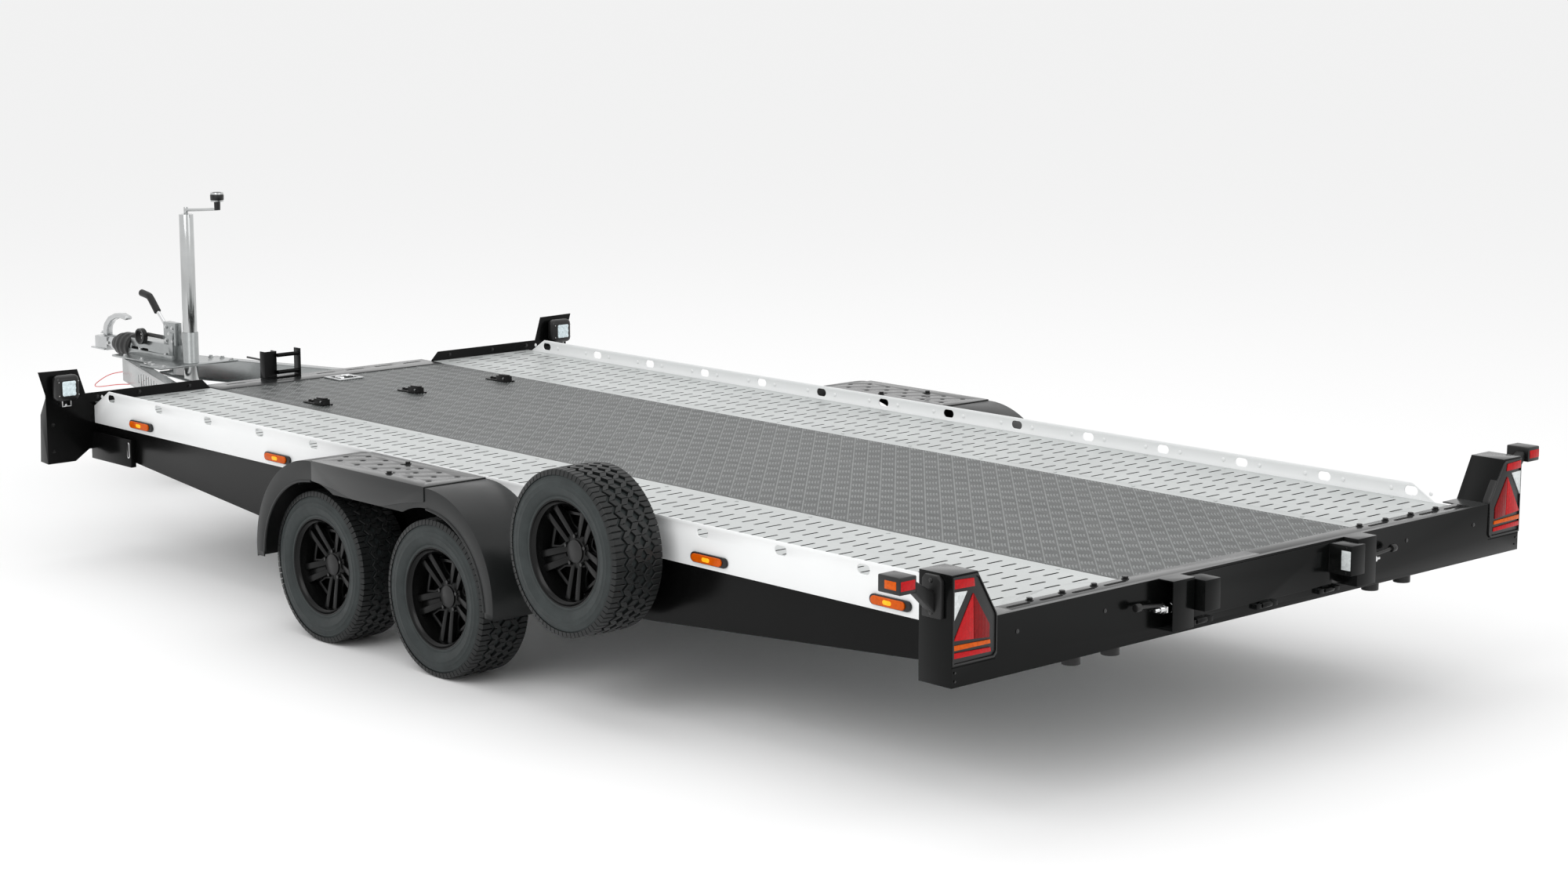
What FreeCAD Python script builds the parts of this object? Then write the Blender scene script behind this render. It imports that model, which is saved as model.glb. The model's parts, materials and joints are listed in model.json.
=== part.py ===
import FreeCAD, Part
import Sketcher
import math
import os
import re

# Car hauler trailer with a low perforated deck, two axles beside the deck, a V drawbar with an
# overrun coupling and a jack, and a rear beam with a drop flap over the ramp bay.
# Row frame: +X forwards to the coupling, +Y to the left, +Z up, ground at Z = 0, millimetres.
# Stations along the trailer are measured forwards from the rear face of the rear beam.

doc = FreeCAD.newDocument("car_hauler_trailer")
sheet = doc.addObject("Spreadsheet::Sheet", "sizes")

# Columns: alias, millimetres or degrees, what it is
SIZES = [
    ("nose_reach", 6518, "station of the coupling's nose"),
    ("lamp_reach", 84, "how far the plate lamps stand behind the rear face"),
    ("post_reach", 52, "how far the latch posts stand behind the rear face"),
    ("deck_height", 568, "top of the deck above the ground"),
    ("deck_sheet", 3, "thickness of the deck sheets"),
    ("deck_rear", 66, "station of the deck's rear edge"),
    ("deck_front", 4660, "station of the centre plate's front edge"),
    ("plate_half", 525, "half width of the centre plate"),
    ("seam_gap", 2, "seam between two deck sheets"),
    ("rail_face", 1035, "outer face of the side rails from the centreline"),
    ("rail_sheet", 4, "thickness of the side rails"),
    ("rail_height", 131, "height of the side rails"),
    ("rail_rear", 122, "station of the side rails' rear end"),
    ("rail_front", 4737, "station of the side rails' front end"),
    ("rail_corner", 66, "height of the sloping corners of a side rail"),
    ("rail_corner_run", 110, "length of the sloping corners of a side rail"),
    ("rail_hole_pitch", 336.5, "distance between lashing holes"),
    ("rail_hole_start", 235, "station of the rearmost lashing hole"),
    ("rail_hole_length", 50, "length of a lashing hole"),
    ("rail_hole_height", 28, "height of a lashing hole"),
    ("beam_sheet", 4, "thickness of the folded steel beams"),
    ("beam_flange", 50, "width of the side beams' lower flange"),
    ("beam_low", 288, "lowest edge of the side beams"),
    ("beam_end_low", 381, "lower edge of the side beams' front end"),
    ("beam_tail_low", 396, "lower edge of the side beams' rear end"),
    ("belly_rear", 1500, "station where the belly's flat starts"),
    ("belly_front", 3560, "station where the belly's flat ends"),
    ("belly_rise", 4560, "station where the front slope ends"),
    ("cross_height", 65, "height of the cross beams"),
    ("cross_width", 50, "width of the cross beams"),
    ("rear_height", 167, "height of the rear beam"),
    ("rear_half", 1275, "half width of the rear beam"),
    ("rear_depth", 119, "depth of the rear beam along the trailer"),
    ("flange_slot", 80, "length of a slot in the rear beam's top flange"),
    ("flange_slot_width", 20, "width of those slots"),
    ("flange_slot_first", 983, "outermost of those slots from the centreline"),
    ("flange_slot_pitch", 129, "distance between those slots"),
    ("post_height", 130, "height of the corner posts above the rear beam"),
    ("post_top_width", 94, "width of a corner post at its top"),
    ("post_foot_width", 165, "width of a corner post at the beam"),
    ("lamp_depth", 26, "depth of a tail lamp in its cutout"),
    ("lamp_rim", 2, "thickness of a tail lamp's rim, behind the beam's face"),
    ("flap_half", 365, "half width of the ramp flap"),
    ("latch_inner", 371, "inner face of the latch posts"),
    ("latch_width", 90, "width of a latch post"),
    ("flap_sheet", 4, "thickness of the ramp flap"),
    ("flap_gap", 0.5, "gap between the ramp flap and the rear beam"),
    ("hinge_pin", 5, "radius of the flap's hinge pins"),
    ("running_gap", 0.05, "radial clearance of a shaft in its bore"),
    ("axle_mid", 2600, "station midway between the axles"),
    ("axle_pitch", 640, "distance between the axles"),
    ("tyre_radius", 255, "radius of a tyre"),
    ("tyre_width", 190, "width of a tyre"),
    ("tyre_bead", 158, "radius of a tyre's bead"),
    ("tyre_inner", 1065, "inner face of the road tyres from the centreline"),
    ("spindle_radius", 20, "radius of the wheel spindles"),
    ("drum_radius", 92, "radius of the hub and brake drum"),
    ("axle_tube", 70, "size of the square axle tubes"),
    ("arm_length", 150, "length of the trailing arms"),
    ("fender_outer", 1275, "outer face of the fenders"),
    ("fender_top", 612, "top of the fenders"),
    ("fender_low", 244, "lower edge of the fenders"),
    ("fender_half", 654, "half length of a fender"),
    ("fender_knee", 558, "half length of a fender at its shoulder"),
    ("knee_level", 515, "height of a fender's shoulder"),
    ("fender_flat", 312, "half length of a fender's flat top"),
    ("fender_sheet", 4, "thickness of the fenders"),
    ("arch_radius", 293, "radius of a fender's wheel openings"),
    ("arch_bridge", 519, "height of the opening between the wheels"),
    ("spare_station", 1597, "station of the spare wheel's centre"),
    ("spare_height", 512, "height of the spare wheel's centre"),
    ("spare_inner", 1095, "inner face of the spare tyre"),
    ("guard_rise", 37, "height of the front guards' low part above the deck"),
    ("guard_wing", 98, "height of the wings above the guards' low part"),
    ("guard_drop", 253, "depth of the front guards below that top"),
    ("guard_outer", 1235, "outer edge of the front guards"),
    ("guard_inner", 525, "inner end of the front guards"),
    ("guard_flange", 58, "width of the guards' side flange"),
    ("drawbar_nose", 418, "distance of the drawbar beams' front ends behind the nose"),
    ("drawbar_half", 94, "half distance of the drawbar beams at their front ends"),
    ("drawbar_angle", 18, "angle of the drawbar beams, degrees"),
    ("drawbar_length", 2780, "length of the drawbar beams"),
    ("drawbar_height", 100, "height of the drawbar beams"),
    ("drawbar_flange", 50, "flange width of the drawbar beams"),
    ("coupling_rise", 30, "height of the coupling's shaft above the drawbar"),
    ("ball_bore", 25.2, "radius of the coupling's socket"),
    ("socket_depth", 16, "depth of the straight part of the socket"),
    ("housing_radius", 34, "radius of the overrun housing"),
    ("shaft_radius", 22, "radius of the overrun shaft"),
    ("head_radius", 36, "radius of the coupling head's nose"),
    ("lever_side", 20, "distance of the brake lever from the centreline"),
    ("cable_radius", 1.75, "radius of the breakaway cable"),
    ("jack_nose", 773, "distance of the jack behind the nose"),
    ("jack_radius", 30, "outer radius of the jack's outer tube"),
    ("jack_wall", 3, "wall of the jack's outer tube"),
    ("jack_top", 1140, "top of the jack's outer tube"),
    ("jack_low", 360, "lower end of the jack's outer tube"),
    ("leg_radius", 26, "radius of the jack's inner tube"),
    ("jockey_radius", 100, "radius of the jockey wheel"),
    ("jockey_width", 56, "width of the jockey wheel"),
    ("jockey_trail", 45, "distance of the jockey wheel behind its swivel"),
    ("fork_top", 226, "top of the jockey fork"),
    ("slot_pitch", 53.4, "distance between deck slots along the trailer"),
    ("slot_start", 153, "station of the rearmost deck slots"),
    ("slot_length", 64, "length of a deck slot"),
    ("slot_width", 9, "width of a deck slot"),
    ("slot_row", 113, "distance between rows of deck slots"),
    ("slot_first_row", 613, "first row of deck slots from the centreline"),
]
# Sizes that follow from others. Columns: alias, formula
DERIVED = [
    ("rear_face", "(lamp_reach - nose_reach) / 2"),
    ("rail_low", "deck_height - 79"),
    ("rail_top", "rail_low + rail_height"),
    ("rail_hole_level", "deck_height + 26"),
    ("rear_top", "deck_height + 7"),
    ("rear_low", "rear_top - rear_height"),
    ("post_top", "rear_top + post_height"),
    ("lamp_low", "rear_low + 58"),
    ("flap_low", "rear_low + 34"),
    ("flap_high", "rear_top - 7"),
    ("cross_low", "deck_height - deck_sheet - cross_height"),
    ("runner_low", "cross_low - 48"),
    ("web_inner", "rail_face - rail_sheet - beam_sheet"),
    ("guard_top", "deck_height + guard_rise"),
    ("guard_wing_top", "guard_top + guard_wing"),
    ("guard_low", "guard_top - guard_drop"),
    ("drawbar_station", "nose_reach - drawbar_nose"),
    ("drawbar_top", "cross_low"),
    ("coupling_level", "drawbar_top + coupling_rise"),
    ("jack_station", "nose_reach - jack_nose"),
    ("housing_start", "nose_reach - 698"),
    ("housing_end", "nose_reach - 338"),
    ("head_start", "nose_reach - 168"),
    ("ball_station", "nose_reach - 42"),
    ("marker_level", "rail_low + 31"),
]
for number, (alias, value, _) in enumerate(SIZES, start=1):
    sheet.set(f"A{number}", alias)
    sheet.set(f"B{number}", repr(float(value)))
    sheet.setAlias(f"B{number}", alias)
for number, (alias, formula) in enumerate(DERIVED, start=len(SIZES) + 1):
    sheet.set(f"A{number}", alias)
    sheet.set(f"B{number}", f"={formula}")
    sheet.setAlias(f"B{number}", alias)
doc.recompute()
VALUES = {row[0]: float(sheet.get(row[0])) for row in (*SIZES, *DERIVED)}

NAME = re.compile(r"\b[a-z][a-z_]*\b")
nodes = {}


def bound(text):
    """An expression with each alias written as a cell of the sheet."""
    return NAME.sub(lambda m: f"sizes.{m.group(0)}" if m.group(0) in VALUES else m.group(0), str(text))


def val(text):
    """The number that an expression of aliases stands for, worked out by the document."""
    probe.setExpression("Height", bound(f"100000 + ({text})"))
    probe.recompute()
    return float(probe.Height) - 100000


probe = doc.addObject("Part::Box", "probe")


def place(obj, x, y, z, axis=(0, 0, 1), angle=0):
    """Binds an object's position to the sheet. The rotation is fixed."""
    obj.Placement = FreeCAD.Placement(
        FreeCAD.Vector(), FreeCAD.Rotation(FreeCAD.Vector(*axis), angle)
    )
    for key, text in zip("xyz", (x, y, z)):
        obj.setExpression(f"Placement.Base.{key}", bound(text))
    return obj


def bind(obj, **sizes):
    for key, text in sizes.items():
        obj.setExpression(key, bound(text))
    return obj


def box(x, y, z, length, width, height, axis=(0, 0, 1), angle=0):
    obj = bind(doc.addObject("Part::Box", "box"), Length=length, Width=width, Height=height)
    return place(obj, x, y, z, axis, angle)


def rod(x, y, z, radius, height, along="z"):
    """A cylinder that starts at a point and runs along an axis."""
    obj = bind(doc.addObject("Part::Cylinder", "rod"), Radius=radius, Height=height)
    turns = {"z": ((0, 0, 1), 0), "x": ((0, 1, 0), 90), "y": ((1, 0, 0), -90)}
    return place(obj, x, y, z, *turns[along])


def fuse(*parts):
    obj = doc.addObject("Part::MultiFuse", "fuse")
    obj.Shapes = list(parts)
    return obj


def cut(base, *tools):
    obj = doc.addObject("Part::Cut", "cut")
    obj.Base = base
    obj.Tool = tools[0] if len(tools) == 1 else fuse(*tools)
    return obj


def mirror(part):
    obj = doc.addObject("Part::Mirroring", "mirror")
    obj.Source = part
    obj.Normal = (0, 1, 0)
    return obj


def group(*parts):
    """Several solids that don't touch, as one object."""
    obj = doc.addObject("Part::Compound", "group")
    obj.Links = list(parts)
    return obj


def pair(part):
    return group(part, mirror(part))


def made(shape):
    """An object for a shape that neither Part's primitives nor a pad can give."""
    obj = doc.addObject("Part::Feature", "made")
    obj.Shape = shape
    return obj


def node(label, obj):
    obj.Label = label
    nodes[label] = obj
    return obj


def pad(plane, outline, depth, x, y, z, holes=()):
    """A body with one pad. Each corner of its outlines is bound to the sheet."""
    body = doc.addObject("PartDesign::Body", "body")
    sketch = body.newObject("Sketcher::SketchObject", "outline")
    support = [f for f in body.Origin.OriginFeatures if f.Role == plane][0]
    sketch.AttachmentSupport = [(support, "")]
    sketch.MapMode = "FlatFace"
    for loop in (outline, *holes):
        first = sketch.GeometryCount
        points = [(val(a), val(b)) for a, b in loop]
        count = len(points)
        for i in range(count):
            start = FreeCAD.Vector(*points[i], 0)
            end = FreeCAD.Vector(*points[(i + 1) % count], 0)
            sketch.addGeometry(Part.LineSegment(start, end))
        for i in range(count):
            nxt = first + (i + 1) % count
            sketch.addConstraint(Sketcher.Constraint("Coincident", first + i, 2, nxt, 1))
        for i, texts in enumerate(loop):
            for kind, axis, text, number in zip(("DistanceX", "DistanceY"), (-2, -1), texts, points[i]):
                if abs(number) < 1e-6:
                    sketch.addConstraint(Sketcher.Constraint("PointOnObject", first + i, 1, axis))
                    continue
                ends = (-1, 1, first + i, 1) if number > 0 else (first + i, 1, -1, 1)
                index = sketch.addConstraint(Sketcher.Constraint(kind, *ends, abs(number)))
                sketch.setExpression(f"Constraints[{index}]", bound(text if number > 0 else f"-({text})"))
    extrusion = body.newObject("PartDesign::Pad", "pad")
    extrusion.Profile = sketch
    bind(extrusion, Length=depth)
    place(body, x, y, z)
    return body


# Shapes made with Part's own functions read their sizes here.
def s(alias):
    return VALUES[alias]


def station(distance):
    """Row frame X of a distance forwards from the rear face."""
    return s("rear_face") + distance


def face_of(points):
    wire = Part.makePolygon([FreeCAD.Vector(*p) for p in (*points, points[0])])
    return Part.Face(wire)


def turned(profile, axis_x, axis_z):
    """Turns a closed outline of (distance from the axis, y) about an axle along Y."""
    face = face_of([(axis_x, y, axis_z + r) for r, y in profile])
    return face.revolve(FreeCAD.Vector(axis_x, 0, axis_z), FreeCAD.Vector(0, 1, 0), 360)


# Side beams: a folded web with a belly, open to the inside, a lower flange and a thick front end.
def side_beam():
    belly = [
        ("rear_depth", "beam_tail_low"),
        ("belly_rear", "beam_low"),
        ("belly_front", "beam_low"),
        ("belly_rise", "beam_end_low"),
        ("rail_front", "beam_end_low"),
    ]
    top = "deck_height - deck_sheet"
    outline = [*belly, ("rail_front", top), ("rear_depth", top)]
    web = pad("XZ_Plane", outline, "beam_sheet", "rear_face", "rail_face - rail_sheet", "0")
    lower = [(a, f"{b} + beam_sheet") for a, b in reversed(belly)]
    flange = pad("XZ_Plane", [*belly, *lower], "beam_flange", "rear_face", "rail_face - rail_sheet", "0")
    return fuse(web, flange)


beam = side_beam()
node("side_beam_left", beam)
node("side_beam_right", mirror(beam))

# Outriggers: boxes on the outside of the side beams' front ends.
OUTRIGGER_LENGTH = 287
OUTRIGGER_REACH = 22
OUTRIGGER_HEIGHT = 104
node("outriggers", pair(box(
    f"rear_face + rail_front - {OUTRIGGER_LENGTH}", "rail_face - rail_sheet", "beam_end_low - 25",
    OUTRIGGER_LENGTH, OUTRIGGER_REACH, OUTRIGGER_HEIGHT,
)))

# Cross beams under the deck: box sections between the webs.
CROSS_COUNT = 7
CROSS_FIRST = 420
CROSS_LAST = 4100


def channel_down(start, depth):
    """A channel across the trailer, open downwards, from web to web."""
    outer = box(start, "-web_inner", "cross_low", depth, "2 * web_inner", "cross_height")
    hollow = box(
        f"{start} + beam_sheet", "-web_inner", "cross_low",
        f"{depth} - 2 * beam_sheet", "2 * web_inner", "cross_height - beam_sheet",
    )
    return cut(outer, hollow)


cross_beams = [
    channel_down(
        f"rear_face + {CROSS_FIRST + (CROSS_LAST - CROSS_FIRST) * k / (CROSS_COUNT - 1)} - cross_width / 2",
        "cross_width",
    )
    for k in range(CROSS_COUNT)
]


# Front beam with the top plate that carries the winch bracket.
FRONT_BEAM_DEPTH = 74
PLATE_DEPTH = 142
front_beam = channel_down(f"rear_face + rail_front - {FRONT_BEAM_DEPTH}", FRONT_BEAM_DEPTH)
node("cross_beams", group(*cross_beams, front_beam))
top_plate = box(
    "rear_face + deck_front + seam_gap", "-plate_half", "deck_height - deck_sheet",
    PLATE_DEPTH, "2 * plate_half", "2 * deck_sheet",
)
PLATE_SLOTS = [-440, -300, -160, -20, 400]
plate_slots = [
    box("rear_face + deck_front + 88", f"{y} - 42", "deck_height - 20", 12, 84, 40) for y in PLATE_SLOTS
]
node("front_plate", cut(top_plate, *plate_slots))


# Perforated wheel tracks: one sheet each side with rows of cross slots.
def wheel_track(side):
    first = s("plate_half") + s("seam_gap")
    last = s("rail_face") - s("rail_sheet")
    rear = station(s("deck_rear"))
    front = station(s("rail_front"))
    low = s("deck_height") - s("deck_sheet")
    outer = face_of([(rear, first, low), (front, first, low), (front, last, low), (rear, last, low)])
    wires = []
    half = s("slot_width") / 2
    reach = s("slot_length") / 2 - half
    rows = int((last - half - s("slot_first_row") - reach) // s("slot_row")) + 1
    count = int((s("rail_front") - 2 * s("slot_width") - s("slot_start")) // s("slot_pitch")) + 1
    for row in range(rows):
        y = s("slot_first_row") + row * s("slot_row")
        for k in range(count):
            x = station(s("slot_start") + k * s("slot_pitch"))
            corners = [
                FreeCAD.Vector(x - half, y - reach, low), FreeCAD.Vector(x - half, y + reach, low),
                FreeCAD.Vector(x + half, y + reach, low), FreeCAD.Vector(x + half, y - reach, low),
            ]
            tips = [FreeCAD.Vector(x, y + reach + half, low), FreeCAD.Vector(x, y - reach - half, low)]
            wires.append(Part.Wire([
                Part.LineSegment(corners[0], corners[1]).toShape(),
                Part.Arc(corners[1], tips[0], corners[2]).toShape(),
                Part.LineSegment(corners[2], corners[3]).toShape(),
                Part.Arc(corners[3], tips[1], corners[0]).toShape(),
            ]))
    perforated = Part.Face([outer.OuterWire, *wires])
    perforated.validate()
    solid = perforated.extrude(FreeCAD.Vector(0, 0, s("deck_sheet")))
    if side < 0:
        solid = solid.mirror(FreeCAD.Vector(), FreeCAD.Vector(0, 1, 0))
    return made(solid)


node("wheel_track_left", wheel_track(1))
node("wheel_track_right", wheel_track(-1))
node("centre_plate", box(
    "rear_face + deck_rear", "-plate_half", "deck_height - deck_sheet",
    "deck_front - deck_rear", "2 * plate_half", "deck_sheet",
))


# Side rails: a white sheet outside each side beam with a row of lashing holes above the deck.
def side_rail():
    outline = [
        ("rail_rear", "rail_low"),
        ("rail_front", "rail_low"),
        ("rail_front", "rail_top - rail_corner"),
        ("rail_front - rail_corner_run", "rail_top"),
        ("rail_rear + rail_corner_run", "rail_top"),
        ("rail_rear", "rail_top - rail_corner"),
    ]
    sheet_pad = pad("XZ_Plane", outline, "rail_sheet", "rear_face", "rail_face", "0")
    count = int((s("rail_front") - s("rail_hole_start") - s("rail_hole_length")) // s("rail_hole_pitch")) + 1
    holes = []
    radius = "rail_hole_height / 2"
    half = "(rail_hole_length - rail_hole_height) / 2"
    deep = "3 * rail_sheet"
    start = "rail_face - 2 * rail_sheet"
    for k in range(count):
        middle = f"rear_face + rail_hole_start + {k} * rail_hole_pitch"
        holes += [
            box(
                f"{middle} - {half}", start, f"rail_hole_level - {radius}",
                f"2 * {half}", deep, "rail_hole_height",
            ),
            rod(f"{middle} - {half}", start, "rail_hole_level", radius, deep, "y"),
            rod(f"{middle} + {half}", start, "rail_hole_level", radius, deep, "y"),
        ]
    return cut(sheet_pad, *holes)


rail = side_rail()
node("side_rail_left", rail)
node("side_rail_right", mirror(rail))

# Rear beam: a folded channel open to the front, with slots in its top flange, the ramp bay's mouth
# and a cutout for each tail lamp.
beam_box = box("rear_face", "-rear_half", "rear_low", "rear_depth", "2 * rear_half", "rear_top - rear_low")
beam_hollow = box(
    "rear_face + beam_sheet", "-rear_half + beam_sheet", "rear_low + beam_sheet",
    "rear_depth", "2 * rear_half - 2 * beam_sheet", "rear_top - rear_low - 2 * beam_sheet",
)
deck_notch = box(
    "rear_face + deck_rear", "-rail_face", "deck_height - deck_sheet",
    "rear_depth", "2 * rail_face", "rear_top",
)
BAY_MARGIN = 14
bay_mouth = box(
    "rear_face - 1", f"-flap_half + {BAY_MARGIN}", f"flap_low + {BAY_MARGIN}",
    "3 * beam_sheet", f"2 * (flap_half - {BAY_MARGIN})", f"flap_high - flap_low - 2 * {BAY_MARGIN}",
)
FLANGE_SLOTS = 4
flange_slots = []
for k in range(FLANGE_SLOTS):
    for side in (-1, 1):
        flange_slots.append(box(
            "rear_face + 29", f"{side} * (flange_slot_first - {k} * flange_slot_pitch) - flange_slot / 2",
            "rear_top - 20", "flange_slot_width", "flange_slot", 40,
        ))
HINGE_LUG = 24
HINGE_ALONG = [-290, 0, 290]
hinge_x = "rear_face - flap_gap - hinge_pin - 4"
hinge_z = "rear_low + 24"
hinge_parts = []
for y in HINGE_ALONG:
    for side in (-1, 1):
        start = f"{y + side * 36} - {HINGE_LUG} / 2"
        hinge_parts.append(box(
            f"{hinge_x} - 6", start, f"{hinge_z} - 8", "flap_gap + hinge_pin + 10", HINGE_LUG, 14,
        ))
    hinge_parts.append(rod(hinge_x, f"{y} - 40", hinge_z, "hinge_pin", 80, "y"))


def lamp_outline(x, grow):
    """The outline of a tail lamp in a plane across the trailer, grown on every side."""
    outer = s("rear_half") - 4 + grow
    return face_of([
        (x, outer, s("lamp_low") - grow), (x, outer, s("post_top") - 5 + grow),
        (x, outer - 82 - 1.4 * grow, s("post_top") - 5 + grow),
        (x, outer - 158 - 2 * grow, s("rear_top") + 5),
        (x, outer - 158 - 2 * grow, s("lamp_low") - grow),
    ])


def lamp_cutout(side):
    tool = lamp_outline(station(-5), -3).extrude(FreeCAD.Vector(40, 0, 0))
    return made(tool if side > 0 else tool.mirror(FreeCAD.Vector(), FreeCAD.Vector(0, 1, 0)))


lamp_cutouts = [lamp_cutout(side) for side in (-1, 1)]
rear_channel = cut(beam_box, beam_hollow, deck_notch, bay_mouth, *flange_slots)

# Ramp flap with its knuckles and the two number plate lamps.
flap_x = "rear_face - flap_gap - flap_sheet"
flap_plate = box(flap_x, "-flap_half", "flap_low", "flap_sheet", "2 * flap_half", "flap_high - flap_low")
knuckles = []
for y in HINGE_ALONG:
    knuckle = fuse(
        rod(hinge_x, f"{y} - 22", hinge_z, "hinge_pin + 4", 44, "y"),
        box(flap_x, f"{y} - 22", hinge_z, "flap_sheet", 44, "flap_low - rear_low - 24"),
    )
    knuckles.append(cut(knuckle, rod(hinge_x, f"{y} - 30", hinge_z, "hinge_pin + running_gap", 60, "y")))
plate_lamps = [
    box("rear_face - lamp_reach", f"{y} - 33", "flap_low + 38", "lamp_reach - flap_gap - flap_sheet", 66, 88)
    for y in (-330, 330)
]
node("ramp_flap", fuse(flap_plate, *knuckles, *plate_lamps))

# Latch posts beside the flap: boxes open outwards, each with a spring bolt.
LATCH_RAISE = 25
latch_box = box(
    "rear_face - post_reach", "latch_inner", f"rear_low + {LATCH_RAISE}",
    "post_reach", "latch_width", f"rear_height - {LATCH_RAISE}",
)
latch_hollow = box(
    "rear_face - post_reach + beam_sheet", "latch_inner + beam_sheet",
    f"rear_low + {LATCH_RAISE} + beam_sheet",
    "post_reach", "latch_width", f"rear_height - {LATCH_RAISE} - 2 * beam_sheet",
)
latch_post = cut(latch_box, latch_hollow)
bolt_level = "rear_low + 88"
bolt_back = "rear_face - post_reach / 2"
spring_bolt = fuse(
    rod(bolt_back, "latch_inner + beam_sheet", bolt_level, 9, "latch_width + 10", "y"),
    rod(bolt_back, "latch_inner + 50", bolt_level, 15, 26, "y"),
    rod(bolt_back, "latch_inner + latch_width + 6", bolt_level, 6, 42, "y"),
    box(bolt_back, "latch_inner + 54", f"{bolt_level} - 9", "post_reach / 2", 14, 18),
)
node("latch_bolts", pair(spring_bolt))


# Corner posts: a tall box on each end of the rear beam with a sloping inner side.
def corner_post():
    outer = s("rear_half")
    top_in = outer - s("post_top_width")
    foot_in = outer - s("post_foot_width")
    sheet_t = s("beam_sheet")
    low = s("rear_top")
    rear = station(0)
    outline = [
        (rear, outer, low), (rear, outer, s("post_top")),
        (rear, top_in, s("post_top")), (rear, foot_in, low),
    ]
    solid = face_of(outline).extrude(FreeCAD.Vector(s("rear_depth"), 0, 0))
    slope = math.hypot(top_in - foot_in, s("post_top") - low) / (s("post_top") - low)
    inner = [
        (rear + sheet_t, outer - sheet_t, low),
        (rear + sheet_t, outer - sheet_t, s("post_top") - sheet_t),
        (rear + sheet_t, top_in + slope * sheet_t, s("post_top") - sheet_t),
        (rear + sheet_t, foot_in + slope * sheet_t, low),
    ]
    hollow = face_of(inner).extrude(FreeCAD.Vector(s("rear_depth"), 0, 0))
    return made(solid.cut(hollow).removeSplitter())


post = corner_post()
whole_beam = fuse(rear_channel, *hinge_parts, latch_post, mirror(latch_post), post, mirror(post))
node("rear_beam", cut(whole_beam, *lamp_cutouts))


# Tail lamps: a thin rim on the beam's face and a body through the cutout.
def tail_lamp():
    rim_sheet = s("lamp_rim")
    plate = lamp_outline(station(-rim_sheet), 0).extrude(FreeCAD.Vector(rim_sheet, 0, 0))
    body = lamp_outline(station(-1), -4).extrude(FreeCAD.Vector(s("lamp_depth") + 1, 0, 0))
    return made(plate.fuse(body).removeSplitter())


node("tail_lamps", pair(tail_lamp()))

# Outline markers: a rubber arm on each corner post that carries a small lamp.
marker_base = box("rear_face + 24", "rear_half", "rear_top + 4", 72, 18, 118)


def marker_arm():
    y0 = s("rear_half") + 16
    x0 = station(48)
    z0 = s("rear_top")
    outline = [(x0, y0, z0 + 25), (x0, y0, z0 + 80), (x0, y0 + 78, z0 + 125), (x0, y0 + 78, z0 + 97)]
    return made(face_of(outline).extrude(FreeCAD.Vector(34, 0, 0)))


marker_head = box("rear_face + 32", "rear_half + 92", "rear_top + 93", 84, 62, 48)
node("outline_markers", pair(fuse(marker_base, marker_arm(), marker_head)))

# Side marker lamps along both rails.
MARKER_STATIONS = [460, 1210, 3480, 4390]


def side_marker(at):
    return box(f"rear_face + {at} - 82", "rail_face", "marker_level - 16", 164, 16, 32)


markers = [side_marker(at) for at in MARKER_STATIONS]
node("side_marker_lamps", group(*markers, *[mirror(m) for m in markers]))


# Fenders: a sheet over both wheels of a side with an outer skirt.
def fender_outline(shrink):
    """The fender from the side: a flat top and an arc over a shoulder at each end."""
    mid = station(s("axle_mid"))
    low = s("fender_low")
    y = s("rail_face")
    corners = [
        (s("fender_half") - shrink, low),
        (s("fender_knee") - shrink, s("knee_level") - shrink),
        (s("fender_flat"), s("fender_top") - shrink),
    ]
    ends = {side: [FreeCAD.Vector(mid + side * a, y, b) for a, b in corners] for side in (-1, 1)}
    return Part.Face(Part.Wire([
        Part.Arc(*ends[1]).toShape(),
        Part.LineSegment(ends[1][2], ends[-1][2]).toShape(),
        Part.Arc(*reversed(ends[-1])).toShape(),
        Part.LineSegment(ends[-1][0], ends[1][0]).toShape(),
    ]))


def across(x, z, length, height):
    """A cutting box through the outer skirt."""
    return Part.makeBox(length, 100, height, FreeCAD.Vector(x, s("fender_outer") - 50, z))


def fender():
    width = s("fender_outer") - s("rail_face")
    mid = station(s("axle_mid"))
    outer = fender_outline(0).extrude(FreeCAD.Vector(0, width, 0))
    hollow = fender_outline(s("fender_sheet")).extrude(FreeCAD.Vector(0, width - s("fender_sheet"), 0))
    # The hollow is open below, so the closing edge's sheet is cut away.
    floor = Part.makeBox(
        2 * s("fender_half"), width + 2, s("fender_sheet") + 1,
        FreeCAD.Vector(mid - s("fender_half"), s("rail_face") - 1, s("fender_low") - 1),
    )
    shell = outer.cut(hollow.fuse(floor))
    for side in (-1, 1):
        centre = FreeCAD.Vector(mid + side * s("axle_pitch") / 2, s("fender_outer") - 50, s("tyre_radius"))
        shell = shell.cut(Part.makeCylinder(s("arch_radius"), 100, centre, FreeCAD.Vector(0, 1, 0)))
    bridge = across(mid - s("axle_pitch") / 2, 100, s("axle_pitch"), s("arch_bridge") - 100)
    return made(shell.cut(bridge).removeSplitter())


left_fender = fender()
node("fender_left", left_fender)
node("fender_right", mirror(left_fender))

# Step plates on the fenders, with a folded outer skirt and round drain holes.
step_top = box(
    "rear_face + axle_mid - fender_flat", "rail_face", "fender_top",
    "2 * fender_flat", "fender_outer - rail_face + fender_sheet", "fender_sheet",
)
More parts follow.
